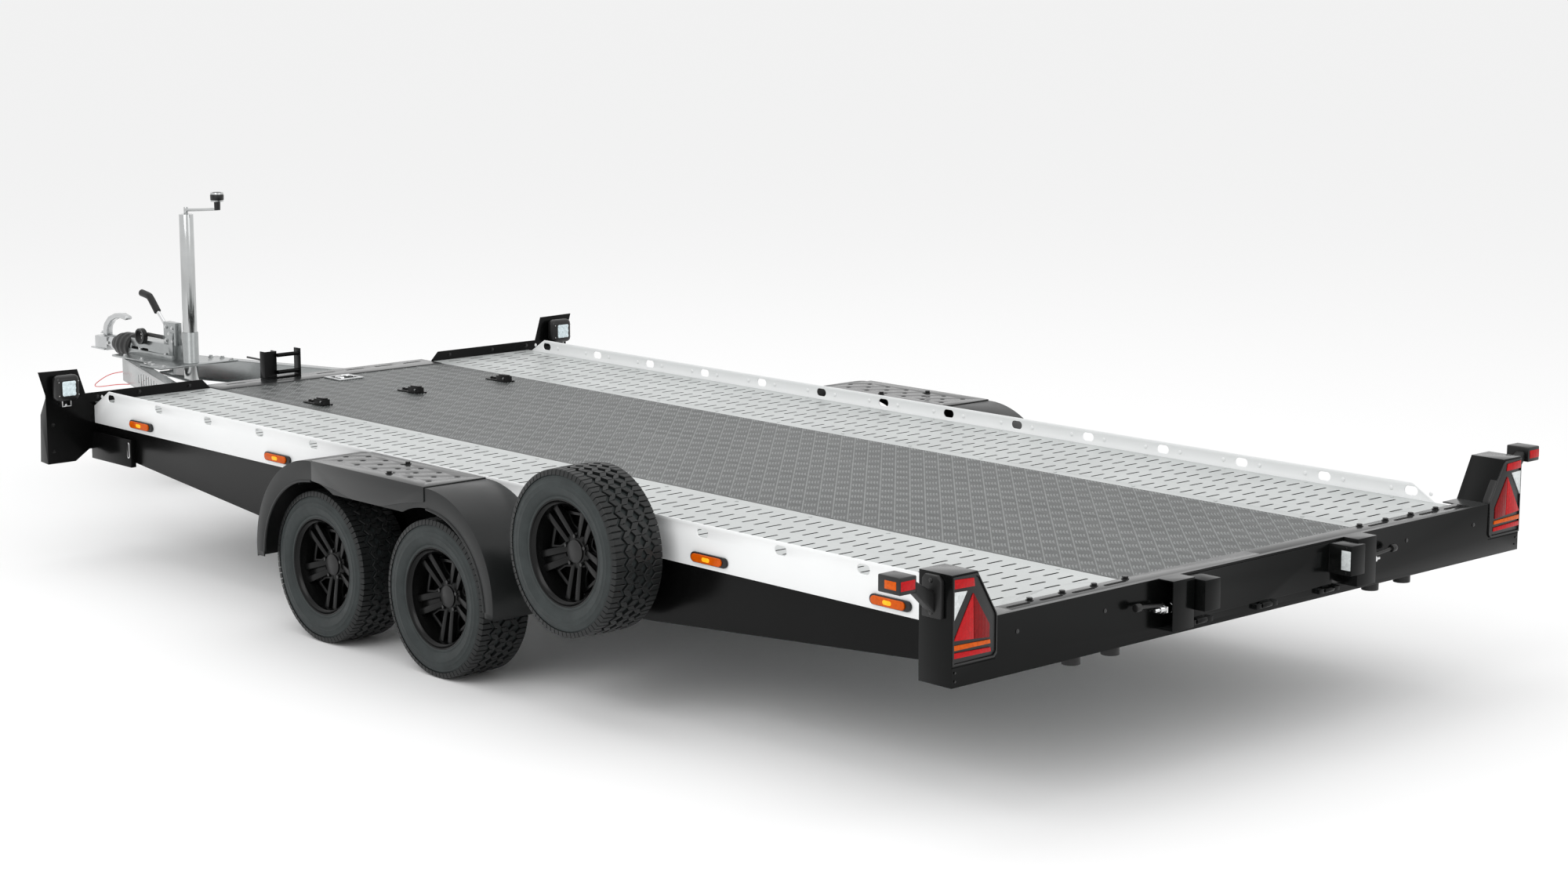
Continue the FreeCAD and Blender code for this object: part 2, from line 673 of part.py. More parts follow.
# Its lower edge dips between the wheels. Columns: distance from the middle, height below the top
SKIRT_EDGE = [
    ("-fender_flat", 45), ("-190", 66), ("-80", 92), ("80", 92), ("190", 72), ("fender_flat", 64),
]
skirt_line = [(f"axle_mid + ({run})", f"fender_top - {drop}") for run, drop in SKIRT_EDGE]
step_skirt = pad(
    "XZ_Plane",
    [*skirt_line, ("axle_mid + fender_flat", "fender_top"), ("axle_mid - fender_flat", "fender_top")],
    "fender_sheet", "rear_face", "fender_outer + fender_sheet", "0",
)
step_holes = []
for k in range(6):
    for row in range(3):
        along = 98 * k + (49 if row == 1 else 0)
        step_holes.append(rod(
            f"rear_face + axle_mid - 245 + {along}", f"rail_face + {62 + 56 * row}",
            "fender_top - 10", 9, 30,
        ))
step = fuse(cut(step_top, *step_holes), step_skirt)
node("step_plates", pair(step))

# Axles: a square tube under the side beams, a trailing arm and a spindle at each end.
arm_inner = "rail_face + 2"


def axle(at):
    centre = f"rear_face + {at}"
    tube_x = f"{centre} + arm_length - axle_tube / 2"
    tube = box(
        tube_x, f"-({arm_inner})", "beam_low - axle_tube", "axle_tube", f"2 * ({arm_inner})", "axle_tube",
    )
    parts = [tube]
    for side in (-1, 1):
        inner = arm_inner if side > 0 else f"-({arm_inner} + 22)"
        parts.append(box(f"{centre} - 30", inner, "tyre_radius - 30", "arm_length + 60", 22, 60))
        start = f"{arm_inner} + 11" if side > 0 else "-(tyre_inner + 90)"
        parts.append(rod(
            centre, start, "tyre_radius", "spindle_radius", "tyre_inner + 90 - rail_face - 13", "y",
        ))
    return fuse(*parts)


node("axle_front", axle("axle_mid + axle_pitch / 2"))
node("axle_rear", axle("axle_mid - axle_pitch / 2"))


# A wheel is a tyre, and a rim with its hub and drum.
TYRE_SIDES = 72
SPOKES = 5


def ring(x, y, z, radius):
    """A many-sided ring about an axle. Its flats are at the radius, and one is straight down."""
    reach = radius / math.cos(math.pi / TYRE_SIDES)
    angles = [2 * math.pi * (k + 0.5) / TYRE_SIDES for k in range(TYRE_SIDES)]
    points = [FreeCAD.Vector(x + reach * math.sin(a), y, z - reach * math.cos(a)) for a in angles]
    return Part.makePolygon([*points, points[0]])


def tyre(x, z, inner):
    """A tyre whose inner face is at a distance from the centreline."""
    radius, width, bead = s("tyre_radius"), s("tyre_width"), s("tyre_bead")
    # Columns: radius, depth below the sidewall's widest place
    side = [(bead, 14), (bead + 34, 0), (radius - 24, 3), (radius, 24)]
    profile = [*side, *[(r, width - depth) for r, depth in reversed(side)]]
    solid = Part.makeLoft([ring(x, inner + y, z, r) for r, y in profile], True, True)
    ends = [side[0][1], width - side[0][1]]
    hole = Part.makeLoft([ring(x, inner + y, z, bead) for y in ends], True, True)
    return solid.cut(hole)


def rim(x, z, inner, with_drum):
    """A rim with a windowed disc and a cap. A road wheel's rim carries its brake drum."""
    bead, width = s("tyre_bead"), s("tyre_width")
    seat = bead - 0.3
    disc_out = inner + width - 62
    disc_in = disc_out - 14
    front = inner + width
    barrel = turned([
        (bead + 8, inner + 4), (bead + 8, inner + 10), (seat, inner + 13.5), (seat, front - 13.5),
        (bead + 8, front - 10), (bead + 8, front - 4), (bead - 10, front - 4), (bead - 14, disc_out),
        (bead - 14, inner + 4),
    ], x, z)
    bore = s("spindle_radius") + s("running_gap")
    disc = turned([
        (bore, disc_in), (bore, disc_out + 4), (60, disc_out + 4),
        (bead - 12, disc_out), (bead - 12, disc_in),
    ], x, z)
    for k in range(SPOKES):
        window = face_of([
            (x - 14, disc_in - 16, z + 72), (x + 14, disc_in - 16, z + 72),
            (x + 40, disc_in - 16, z + 124), (x - 40, disc_in - 16, z + 124),
        ]).extrude(FreeCAD.Vector(0, 60, 0))
        window.rotate(FreeCAD.Vector(x, 0, z), FreeCAD.Vector(0, 1, 0), 360 * k / SPOKES)
        disc = disc.cut(window)
    cap = turned([(0, disc_out + 4), (0, disc_out + 26), (30, disc_out + 26), (36, disc_out + 4)], x, z)
    if with_drum:
        drum = s("drum_radius")
        back = turned([(bore, inner + 1), (bore, disc_in), (drum, disc_in), (drum, inner + 1)], x, z)
    else:
        back = turned([(0, disc_in), (0, disc_out + 4), (bore, disc_out + 4), (bore, disc_in)], x, z)
    return barrel.fuse([disc, cap, back]).removeSplitter()


WHEELS = [("front", 1), ("rear", -1)]
for name, end in WHEELS:
    x = station(s("axle_mid") + end * s("axle_pitch") / 2)
    tyre_left = made(tyre(x, s("tyre_radius"), s("tyre_inner")))
    rim_left = made(rim(x, s("tyre_radius"), s("tyre_inner"), True))
    node(f"tyre_{name}_left", tyre_left)
    node(f"rim_{name}_left", rim_left)
    node(f"tyre_{name}_right", mirror(tyre_left))
    node(f"rim_{name}_right", mirror(rim_left))

# Spare wheel, upright beside the left rail, and the arm that carries it.
spare_x = station(s("spare_station"))
node("spare_tyre", made(tyre(spare_x, s("spare_height"), s("spare_inner"))))
node("spare_rim", made(rim(spare_x, s("spare_height"), s("spare_inner"), False)))
node("spare_carrier", fuse(
    box(
        "rear_face + spare_station - 70", "rail_face", "rail_low + 2",
        140, 8, "rail_hole_level - rail_hole_height / 2 - 8 - rail_low",
    ),
    box(
        "rear_face + spare_station - 30", "rail_face", "spare_height - 30",
        60, "spare_inner + tyre_width - 82 - rail_face", 60,
    ),
    rod("rear_face + spare_station", "spare_inner + tyre_width - 82", "spare_height", 62, 6, "y"),
))


# Front guards: an upright sheet at each front corner with a wing for the work lamp.
def front_guard():
    outline = [
        ("guard_inner", "guard_top - 105"), ("guard_inner", "guard_top - 38"),
        ("guard_inner + 38", "guard_top"),
        ("rail_face + 35", "guard_top"), ("rail_face + 65", "guard_wing_top - 3"),
        ("guard_outer + 27", "guard_wing_top"), ("guard_outer", "guard_top + 8"),
        ("guard_outer", "guard_low"), ("guard_outer - 114", "guard_low"),
        ("guard_outer - 173", "guard_low + 40"), ("rail_face - 45", "guard_low + 40"),
        ("rail_face - 45", "guard_top - 105"),
    ]
    panel = pad("YZ_Plane", outline, "beam_sheet", "rear_face + rail_front + 1", "0", "0")
    flange_line = [
        ("0", "guard_low"), ("guard_flange", "guard_low + 4"),
        ("guard_flange - 12", "guard_top - 70"), ("0", "guard_top + 4"),
    ]
    flange = pad("XZ_Plane", flange_line, "beam_sheet", "rear_face + rail_front + 1", "guard_outer", "0")
    return fuse(panel, flange)


guard = front_guard()
node("front_guard_left", guard)
node("front_guard_right", mirror(guard))

# Work lamps on the guards' wings, facing back over the deck.
work_lamp = fuse(
    box("rear_face + rail_front - 62", "guard_outer - 113", "guard_top - 15", 52, 104, 100),
    box("rear_face + rail_front - 12", "guard_outer - 77", "guard_top + 13", 13, 32, 40),
)
node("work_lamps", pair(work_lamp))


# Drawbar beams: channels that run back under the cross beams. The left one has upright slots.
SLOT_FIRST = 330
SLOT_STEP = 48
SLOT_HEIGHTS = [34, 52, 62, 66, 68, 66, 62, 52, 34]


def drawbar_beam(slotted):
    """The left beam, laid along X with its front end at the origin and then turned outwards."""
    length, height = s("drawbar_length"), s("drawbar_height")
    flange, sheet_t = s("drawbar_flange"), s("beam_sheet")
    inside = FreeCAD.Vector(-1, -sheet_t, sheet_t)
    hollow = Part.makeBox(length + 2, flange, height - 2 * sheet_t, inside)
    channel = Part.makeBox(length, flange, height).cut(hollow)
    if slotted:
        channel = channel.cut([
            Part.makeBox(22, 20, tall, FreeCAD.Vector(
                length - SLOT_FIRST - SLOT_STEP * k, flange - 10, (height - tall) / 2,
            ))
            for k, tall in enumerate(SLOT_HEIGHTS)
        ])
    channel.translate(FreeCAD.Vector(-length, 0, -height))
    channel.rotate(FreeCAD.Vector(), FreeCAD.Vector(0, 0, 1), -s("drawbar_angle"))
    front = FreeCAD.Vector(station(s("drawbar_station")), s("drawbar_half") - flange / 2, s("drawbar_top"))
    channel.translate(front)
    return made(channel)


node("drawbar_beam_left", drawbar_beam(True))
node("drawbar_beam_right", mirror(drawbar_beam(False)))

# Nose plate on the drawbar beams, which carries the overrun housing and the jack clamp.
nose_plate = box(
    "rear_face + jack_station - 70", -190, "drawbar_top", "housing_end - jack_station + 70", 380, 8,
)
housing_pass = box(
    "rear_face + housing_start - 5", -36, "drawbar_top - 5", "housing_end - housing_start + 40", 72, 20,
)
nose_trim = [
    box("rear_face + jack_station + 100", start, "drawbar_top - 5", 400, 200, 20) for start in (-330, 130)
]
jack_pass = rod("rear_face + jack_station", 0, "drawbar_top - 10", "jack_radius", 40)
clamp_ring = cut(
    rod("rear_face + jack_station", 0, "drawbar_top + 8", "jack_radius + 4", 130),
    rod("rear_face + jack_station", 0, "drawbar_top", "jack_radius", 150),
)
node("nose_plate", fuse(cut(nose_plate, *nose_trim, jack_pass, housing_pass), clamp_ring))

# Overrun housing with its shaft, and below it the brake's relay lever on a cross pin.
RELAY = "housing_start + 60"
RELAY_DROP = 48
RELAY_PIN = 8
RELAY_REACH = 66
housing = fuse(
    box("rear_face + housing_start", -48, "drawbar_top + 8", "housing_end - housing_start", 96, 22),
    box("rear_face + housing_start", -35.5, "drawbar_top - 20", "housing_end - housing_start - 6", 71, 94),
    rod(
        "rear_face + housing_start", 0, "coupling_level", "housing_radius", "housing_end - housing_start", "x",
    ),
    rod("rear_face + housing_end", 0, "coupling_level", "shaft_radius", "head_start - housing_end + 35", "x"),
    box(f"rear_face + {RELAY}", -8, "drawbar_top - 60", 20, 16, 75),
    rod(f"rear_face + {RELAY} + 10", 0, f"drawbar_top - {RELAY_DROP}", RELAY_PIN, RELAY_REACH, "y"),
)
node("overrun_housing", housing)


def bellows():
    """A dome of shallow folds from the housing to the coupling head."""
    start = station(s("housing_end"))
    level = s("coupling_level")
    length = s("head_start") - s("housing_end") - 1
    inside = s("shaft_radius") + 0.3
    # Columns: part of the length, radius
    outside = [
        (0, 48), (0.06, 56), (0.2, 54), (0.3, 57), (0.42, 54), (0.52, 56), (0.64, 50), (0.74, 49),
        (0.86, 40), (1, 32),
    ]
    profile = [(0, inside), *outside, (1, inside)]
    face = face_of([(start + 0.3 + part * length, 0, level + r) for part, r in profile])
    return face.revolve(FreeCAD.Vector(start, 0, level), FreeCAD.Vector(1, 0, 0), 360)


node("bellows", made(bellows()))

# Coupling head: a tube over the shaft, a flat body and a round nose with the ball's socket below.
ball_x = "rear_face + ball_station"
head_low = "coupling_level - 34"
head_body = fuse(
    rod("rear_face + head_start", 0, "coupling_level", 31, 60, "x"),
    box(
        "rear_face + head_start + 35", "-head_radius", head_low,
        "ball_station - head_start - 35", "2 * head_radius", 58,
    ),
    rod(ball_x, 0, head_low, "head_radius", 54, "z"),
    rod(ball_x, 0, head_low, "nose_reach - ball_station", 5, "z"),
)
socket = doc.addObject("Part::Sphere", "ball_socket")
place(socket, ball_x, 0, f"{head_low} + socket_depth")
bind(socket, Radius="ball_bore")
head = cut(
    head_body, socket,
    rod(ball_x, 0, f"{head_low} - 10", "ball_bore", "socket_depth + 10"),
    rod("rear_face + head_start - 5", 0, "coupling_level", "shaft_radius", 40, "x"),
)
node("coupling_head", head)


def swept(points, radius):
    """A round bar along straight runs joined by arcs. Each arc's radius follows from its two runs."""
    edges, bends = [], []
    start = points[0]
    for before, here, after in zip(points, points[1:], points[2:]):
        a, b = here.sub(before), after.sub(here)
        turn = a.getAngle(b)
        short = min(a.Length, b.Length)
        bend = 0.45 * short / math.tan(turn / 2)
        reach = 0.45 * short
        bends.append(bend)
        first = here.sub(FreeCAD.Vector(a).normalize().multiply(reach))
        last = here.add(FreeCAD.Vector(b).normalize().multiply(reach))
        inward = FreeCAD.Vector(b).normalize().sub(FreeCAD.Vector(a).normalize()).normalize()
        centre = here.add(FreeCAD.Vector(inward).multiply(math.hypot(bend, reach)))
        middle = centre.sub(FreeCAD.Vector(inward).multiply(bend))
        edges.append(Part.LineSegment(start, first).toShape())
        edges.append(Part.Arc(first, middle, last).toShape())
        start = last
    edges.append(Part.LineSegment(start, points[-1]).toShape())
    path = Part.Wire(edges)
    section = Part.Wire(Part.makeCircle(radius, points[0], points[1].sub(points[0])))
    return path.makePipeShell([section], True, False), path.Length, bends


def bar(points, radius):
    return swept([FreeCAD.Vector(*p) for p in points], radius)[0]


ball = station(s("ball_station"))
level = s("coupling_level")
node("coupling_handle", made(bar([
    (ball - 50, 0, level + 24), (ball - 50, 0, level + 72), (ball - 88, 0, level + 106),
    (ball - 150, 0, level + 117), (ball - 214, 0, level + 111),
], 13)))

# Handbrake: a sector box and its foot beside the housing, the parked plug's ring and the lever.
RING_RADIUS = 34
RING_SHIFT = 245
BRACKET_BACK = -14
BRACKET_LENGTH = 94
ring_x = f"rear_face + housing_start + {RING_SHIFT}"
ring_z = "coupling_level + 62"
sector_box = box(
    f"rear_face + housing_start + {BRACKET_BACK}", 4, "coupling_level + 44", BRACKET_LENGTH, 32, 97,
)
node("brake_bracket", fuse(
    sector_box,
    box("rear_face + housing_start + 2", 36, "coupling_level", 30, 6, 98),
    rod(
        f"rear_face + housing_start + {BRACKET_BACK + BRACKET_LENGTH}", 34, "coupling_level + 72",
        8, RING_SHIFT - BRACKET_BACK - BRACKET_LENGTH - RING_RADIUS + 4, "x",
    ),
    cut(
        rod(ring_x, 37, ring_z, RING_RADIUS, 24, "y"),
        rod(ring_x, 30, ring_z, RING_RADIUS - 8, 40, "y"),
    ),
))
lever_x = station(s("housing_start") + 77)
lever_y = s("lever_side")
lever_bar = bar([
    (lever_x - 30, lever_y, level + 86), (lever_x + 44, lever_y, level + 158),
    (lever_x + 92, lever_y, level + 190),
], 8)
lever_grip = bar([
    (lever_x + 84, lever_y, level + 186), (lever_x + 132, lever_y, level + 234),
    (lever_x + 196, lever_y, level + 244),
], 14)
node("brake_lever", cut(made(lever_bar.fuse(lever_grip).removeSplitter()), sector_box))

# Breakaway cable: a free loop from the relay lever round and back to its cross pin.
# Columns: station, Y, Z
CABLE_ROUTE = [
    (5900, 0, 470), (5930, 0, 470), (5975, 3, 466), (6031, 12, 459), (6085, 23, 450), (6138, 34, 439),
    (6191, 43, 427), (6245, 51, 416), (6295, 55, 406), (6338, 58, 394), (6368, 67, 379), (6384, 84, 363),
    (6380, 104, 352), (6360, 117, 348), (6331, 124, 349), (6291, 127, 354), (6240, 125, 363),
    (6186, 120, 373), (6131, 112, 381), (6076, 105, 386), (6024, 103, 393), (5979, 104, 406),
    (5946, 106, 421), (5921, 106, 434), (5903, 100, 445), (5893, 89, 451), (5890, 77, 452), (5890, 66, 452),
]
cable, cable_length, cable_bends = swept(
    [FreeCAD.Vector(station(x), y, z) for x, y, z in CABLE_ROUTE], s("cable_radius"),
)
node("breakaway_cable", made(cable))
print("cable length", round(cable_length), "mm, bend radii", [round(bend) for bend in cable_bends])

# Jack: outer tube, inner tube, crank, and a swivelling fork with the jockey wheel.
jack_x = "rear_face + jack_station"
node("jack_tube", cut(
    rod(jack_x, 0, "jack_low", "jack_radius", "jack_top - jack_low"),
    rod(jack_x, 0, "jack_low - 1", "jack_radius - jack_wall", "jack_top - jack_low - 5"),
))
KINGPIN = 10
node("jack_leg", cut(
    rod(jack_x, 0, "fork_top + 0.3", "leg_radius", 420),
    rod(jack_x, 0, "fork_top - 1", f"{KINGPIN} + running_gap", 62),
))
crank_top = s("jack_top")
crank_x = station(s("jack_station"))
crank_end = FreeCAD.Vector(crank_x - 158, -56, crank_top + 29)
crank_bar = bar([
    (crank_x, 0, crank_top + 18), (crank_x - 90, -32, crank_top + 23),
    (crank_end.x, crank_end.y, crank_end.z),
], 6)
hub = Part.makeCylinder(9, 30, FreeCAD.Vector(crank_x, 0, crank_top))
stem = Part.makeCylinder(12, 36, crank_end)
knob = Part.makeCylinder(27, 38, crank_end.add(FreeCAD.Vector(0, 0, 32)))
node("jack_crank", made(crank_bar.fuse([hub, stem, knob]).removeSplitter()))
CHEEK_GAP = 4
CHEEK_SHEET = 5
cheek_inner = f"jockey_width / 2 + {CHEEK_GAP}"
cheek_outer = f"({cheek_inner} + {CHEEK_SHEET})"
cheeks = [
    box(
        f"{jack_x} - jockey_trail - 22", inner, "jockey_radius - 20",
        44, CHEEK_SHEET, "fork_top - jockey_radius + 20",
    )
    for inner in (cheek_inner, f"-{cheek_outer}")
]
node("jockey_fork", fuse(
    rod(jack_x, 0, "fork_top - 10", KINGPIN, 68),
    box(
        f"{jack_x} - jockey_trail - 32", f"-{cheek_outer}", "fork_top - 10",
        "jockey_trail + 62", f"2 * {cheek_outer}", 10,
    ),
    *cheeks,
    rod(f"{jack_x} - jockey_trail", f"-{cheek_outer}", "jockey_radius", 8, f"2 * {cheek_outer}", "y"),
))
jockey_wheel_x = station(s("jack_station") - s("jockey_trail"))
half_width = s("jockey_width") / 2
bore = 8 + s("running_gap")
node("jockey_wheel", made(turned([
    (bore, -half_width), (s("jockey_radius") - 8, -half_width), (s("jockey_radius"), -half_width + 10),
    (s("jockey_radius"), half_width - 10), (s("jockey_radius") - 8, half_width), (bore, half_width),
], jockey_wheel_x, s("jockey_radius"))))

# Winch bracket with a roller fairlead on the front plate.
plate_top = "deck_height + deck_sheet"
bracket_x = "rear_face + rail_front + 20"
node("winch_bracket", fuse(
    box(f"{bracket_x}", 96, plate_top, 52, 156, 5),
    box(f"{bracket_x} + 20", 96, plate_top, 5, 6, 110),
    box(f"{bracket_x} + 20", 196, plate_top, 34, 6, 106),
    box(f"{bracket_x} + 20", 246, plate_top, 34, 6, 106),
    box(f"{bracket_x} + 20", 196, plate_top, 5, 56, 106),
    box(f"{bracket_x}", 96, plate_top, 40, 6, 110),
    rod(f"{bracket_x} + 12", 100, f"{plate_top} + 22", 8, 98, "y"),
    rod(f"{bracket_x} + 12", 100, f"{plate_top} + 90", 8, 98, "y"),
    rod(f"{bracket_x} + 25", 224, f"{plate_top} + 66", 4, 165, "x"),
))

# Low lashing fittings on the centre plate.
FITTING_ROWS = [-420, 5, 436]
fitting_x = "rear_face + deck_front - 595"
fittings = [
    fuse(
        box(fitting_x, f"{y} - 24", "deck_height", 130, 48, 5),
        box(f"{fitting_x} + 8", f"{y} - 16", "deck_height", 62, 32, 22),
    )
    for y in FITTING_ROWS
]
ring_frame = cut(
    box("rear_face + deck_front - 116", -58, "deck_height", 108, 116, 5),
    box("rear_face + deck_front - 100", -42, "deck_height - 1", 76, 84, 20),
)
node("lashing_fittings", group(*fittings, ring_frame))

# Rubber buffers under the rear beam.
buffers = [rod("rear_face + 60", y, "rear_low - 34", 26, 34) for y in (590, 750)]
node("rear_buffers", group(*buffers, *[mirror(b) for b in buffers]))

# Ramp bay: two runners under the cross beams, and the two loading ramps that lie on them.
RUNNER_LENGTH = 2360
RUNG_PITCH = 75
RUNG_GAPS = 30
runner = fuse(
    box("rear_face + rear_depth", "flap_half - 14", "runner_low", RUNNER_LENGTH, 4, "cross_low - runner_low"),
    box("rear_face + rear_depth", 6, "runner_low", RUNNER_LENGTH, "flap_half - 16", 4),
)
node("ramp_runners", pair(runner))
ramp_body = box("rear_face + 40", 12, "runner_low + 4", 2300, "flap_half - 32", 40)
ramp_gaps = [
    box(f"rear_face + {90 + RUNG_PITCH * k}", 52, "runner_low", 55, "flap_half - 112", 80)
    for k in range(RUNG_GAPS)
]
node("loading_ramps", pair(cut(ramp_body, *ramp_gaps)))

# Brake rod from the relay lever's pin back over both axle tubes.
rod_y = 58
relay_x = station(s("housing_start")) + 62
rod_low = s("beam_low") + 6
axles = [station(s("axle_mid") + reach) for reach in (900, -220)]
node("brake_rod", made(bar([
    (relay_x, rod_y, s("drawbar_top") - 48), (station(4900), rod_y, s("drawbar_top") - 100),
    (axles[0], rod_y, rod_low), (axles[1], rod_y, rod_low),
], 6)))

doc.removeObject(probe.Name)
doc.recompute()
for obj in doc.Objects:
    if "Invalid" in obj.State or "Error" in obj.State:
        raise RuntimeError(f"{obj.Name} ({obj.Label}) failed: {obj.State}")
os.makedirs("parts", exist_ok=True)
for label, obj in nodes.items():
    shape = obj.Shape
    if shape.isNull() or not shape.isValid() or not shape.Solids:
        raise RuntimeError(f"{label} has no valid shape")
    shape.exportStep(f"parts/{label}.step")
    print(label, len(shape.Solids), round(shape.Volume / 1e6, 3), "litres")
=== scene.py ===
"""Looks of a low car hauler trailer with two axles, perforated wheel tracks and lashing rails.

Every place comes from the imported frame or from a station, a distance forwards from the rear
beam's rear face. All sizes are in metres.
"""

import json
import logging
import math
from dataclasses import dataclass, field
from enum import Enum
from typing import Callable, Iterable, Sequence

import bmesh
import bpy
from mathutils import Matrix, Vector


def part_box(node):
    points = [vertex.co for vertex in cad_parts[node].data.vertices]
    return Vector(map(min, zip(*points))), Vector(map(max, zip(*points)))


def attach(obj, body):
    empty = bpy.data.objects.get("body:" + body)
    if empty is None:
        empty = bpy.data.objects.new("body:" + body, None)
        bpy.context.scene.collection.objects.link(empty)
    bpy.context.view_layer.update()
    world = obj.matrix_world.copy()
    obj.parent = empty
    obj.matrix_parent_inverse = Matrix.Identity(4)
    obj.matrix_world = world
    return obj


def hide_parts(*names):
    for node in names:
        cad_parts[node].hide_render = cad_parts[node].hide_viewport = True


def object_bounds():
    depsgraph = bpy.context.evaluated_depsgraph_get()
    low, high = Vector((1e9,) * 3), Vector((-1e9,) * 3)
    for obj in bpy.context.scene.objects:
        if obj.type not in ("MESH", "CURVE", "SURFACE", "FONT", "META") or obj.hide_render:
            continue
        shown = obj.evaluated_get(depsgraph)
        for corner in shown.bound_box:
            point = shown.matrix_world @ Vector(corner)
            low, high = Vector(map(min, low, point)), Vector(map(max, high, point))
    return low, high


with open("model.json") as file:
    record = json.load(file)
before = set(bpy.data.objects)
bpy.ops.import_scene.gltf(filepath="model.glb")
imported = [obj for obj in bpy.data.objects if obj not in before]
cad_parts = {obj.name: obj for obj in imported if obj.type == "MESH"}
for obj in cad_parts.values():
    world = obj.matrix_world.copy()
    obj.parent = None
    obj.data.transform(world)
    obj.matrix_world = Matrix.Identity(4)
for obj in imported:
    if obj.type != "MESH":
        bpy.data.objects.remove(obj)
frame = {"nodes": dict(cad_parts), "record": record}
CAD_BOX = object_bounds()
LOG = logging.getLogger("trailer")
Point = tuple[float, float, float]
Flat = tuple[float, float]

LAMP_REACH = 0.084
REAR_FACE = CAD_BOX[0].x + LAMP_REACH
CHASSIS = "chassis"
FULL_TURN = 2.0 * math.pi


def station(distance: float) -> float:
    """Return the row frame's X of a distance forwards from the rear face."""
    return REAR_FACE + distance


def pill(straight: float, radius: float, steps: int, upright: bool = False) -> list[Flat]:
    """Return the outline of a bar with round ends, about its own middle.

    Args:
        straight: half the length between the ends' centres.
        radius: the ends' radius.
        steps: how many edges go round an end.
        upright: whether the bar lies along the second axis.

    Returns:
        Its corners in order.
    """
    first = 0.0 if upright else -math.pi / 2
    corners = []
    for start, shift in ((first, straight), (first + math.pi, -straight)):
        for step in range(steps + 1):
            angle = start + math.pi * step / steps
            flat = (math.cos(angle) * radius, math.sin(angle) * radius)
            corners.append((flat[0], flat[1] + shift) if upright else (flat[0] + shift, flat[1]))
    return corners


def smooth_curve(name: str, points: Sequence[Point], radius: float, sides: int, steps: int) -> bpy.types.Curve:
    """Return a round bar's curve along control points, which it starts and ends at.

    Args:
        name: the curve's name.
        points: its control points.
        radius: the bar's radius.
        sides: its bevel resolution.
        steps: its resolution along the line.

    Returns:
        The curve's data.
    """
    curve = bpy.data.curves.new(name, "CURVE")
    curve.dimensions = "3D"
    curve.bevel_depth = radius
    curve.bevel_resolution = sides
    curve.resolution_u = steps
    curve.use_fill_caps = True
    spline = curve.splines.new("NURBS")
    spline.points.add(len(points) - 1)
    for point, place in zip(spline.points, points):
        point.co = (*place, 1.0)
    spline.order_u = 3
    spline.use_endpoint_u = True
    return curve


class Side(Enum):
    """The two sides of the trailer, with the sign of their Y."""

    LEFT = 1
    RIGHT = -1

    @property
    def label(self) -> str:
        """Return the side's name as node names spell it."""
        return self.name.lower()


class Axis(Enum):
    """The three axes of the row frame."""

    X = (1.0, 0.0, 0.0)
    Y = (0.0, 1.0, 0.0)
    Z = (0.0, 0.0, 1.0)


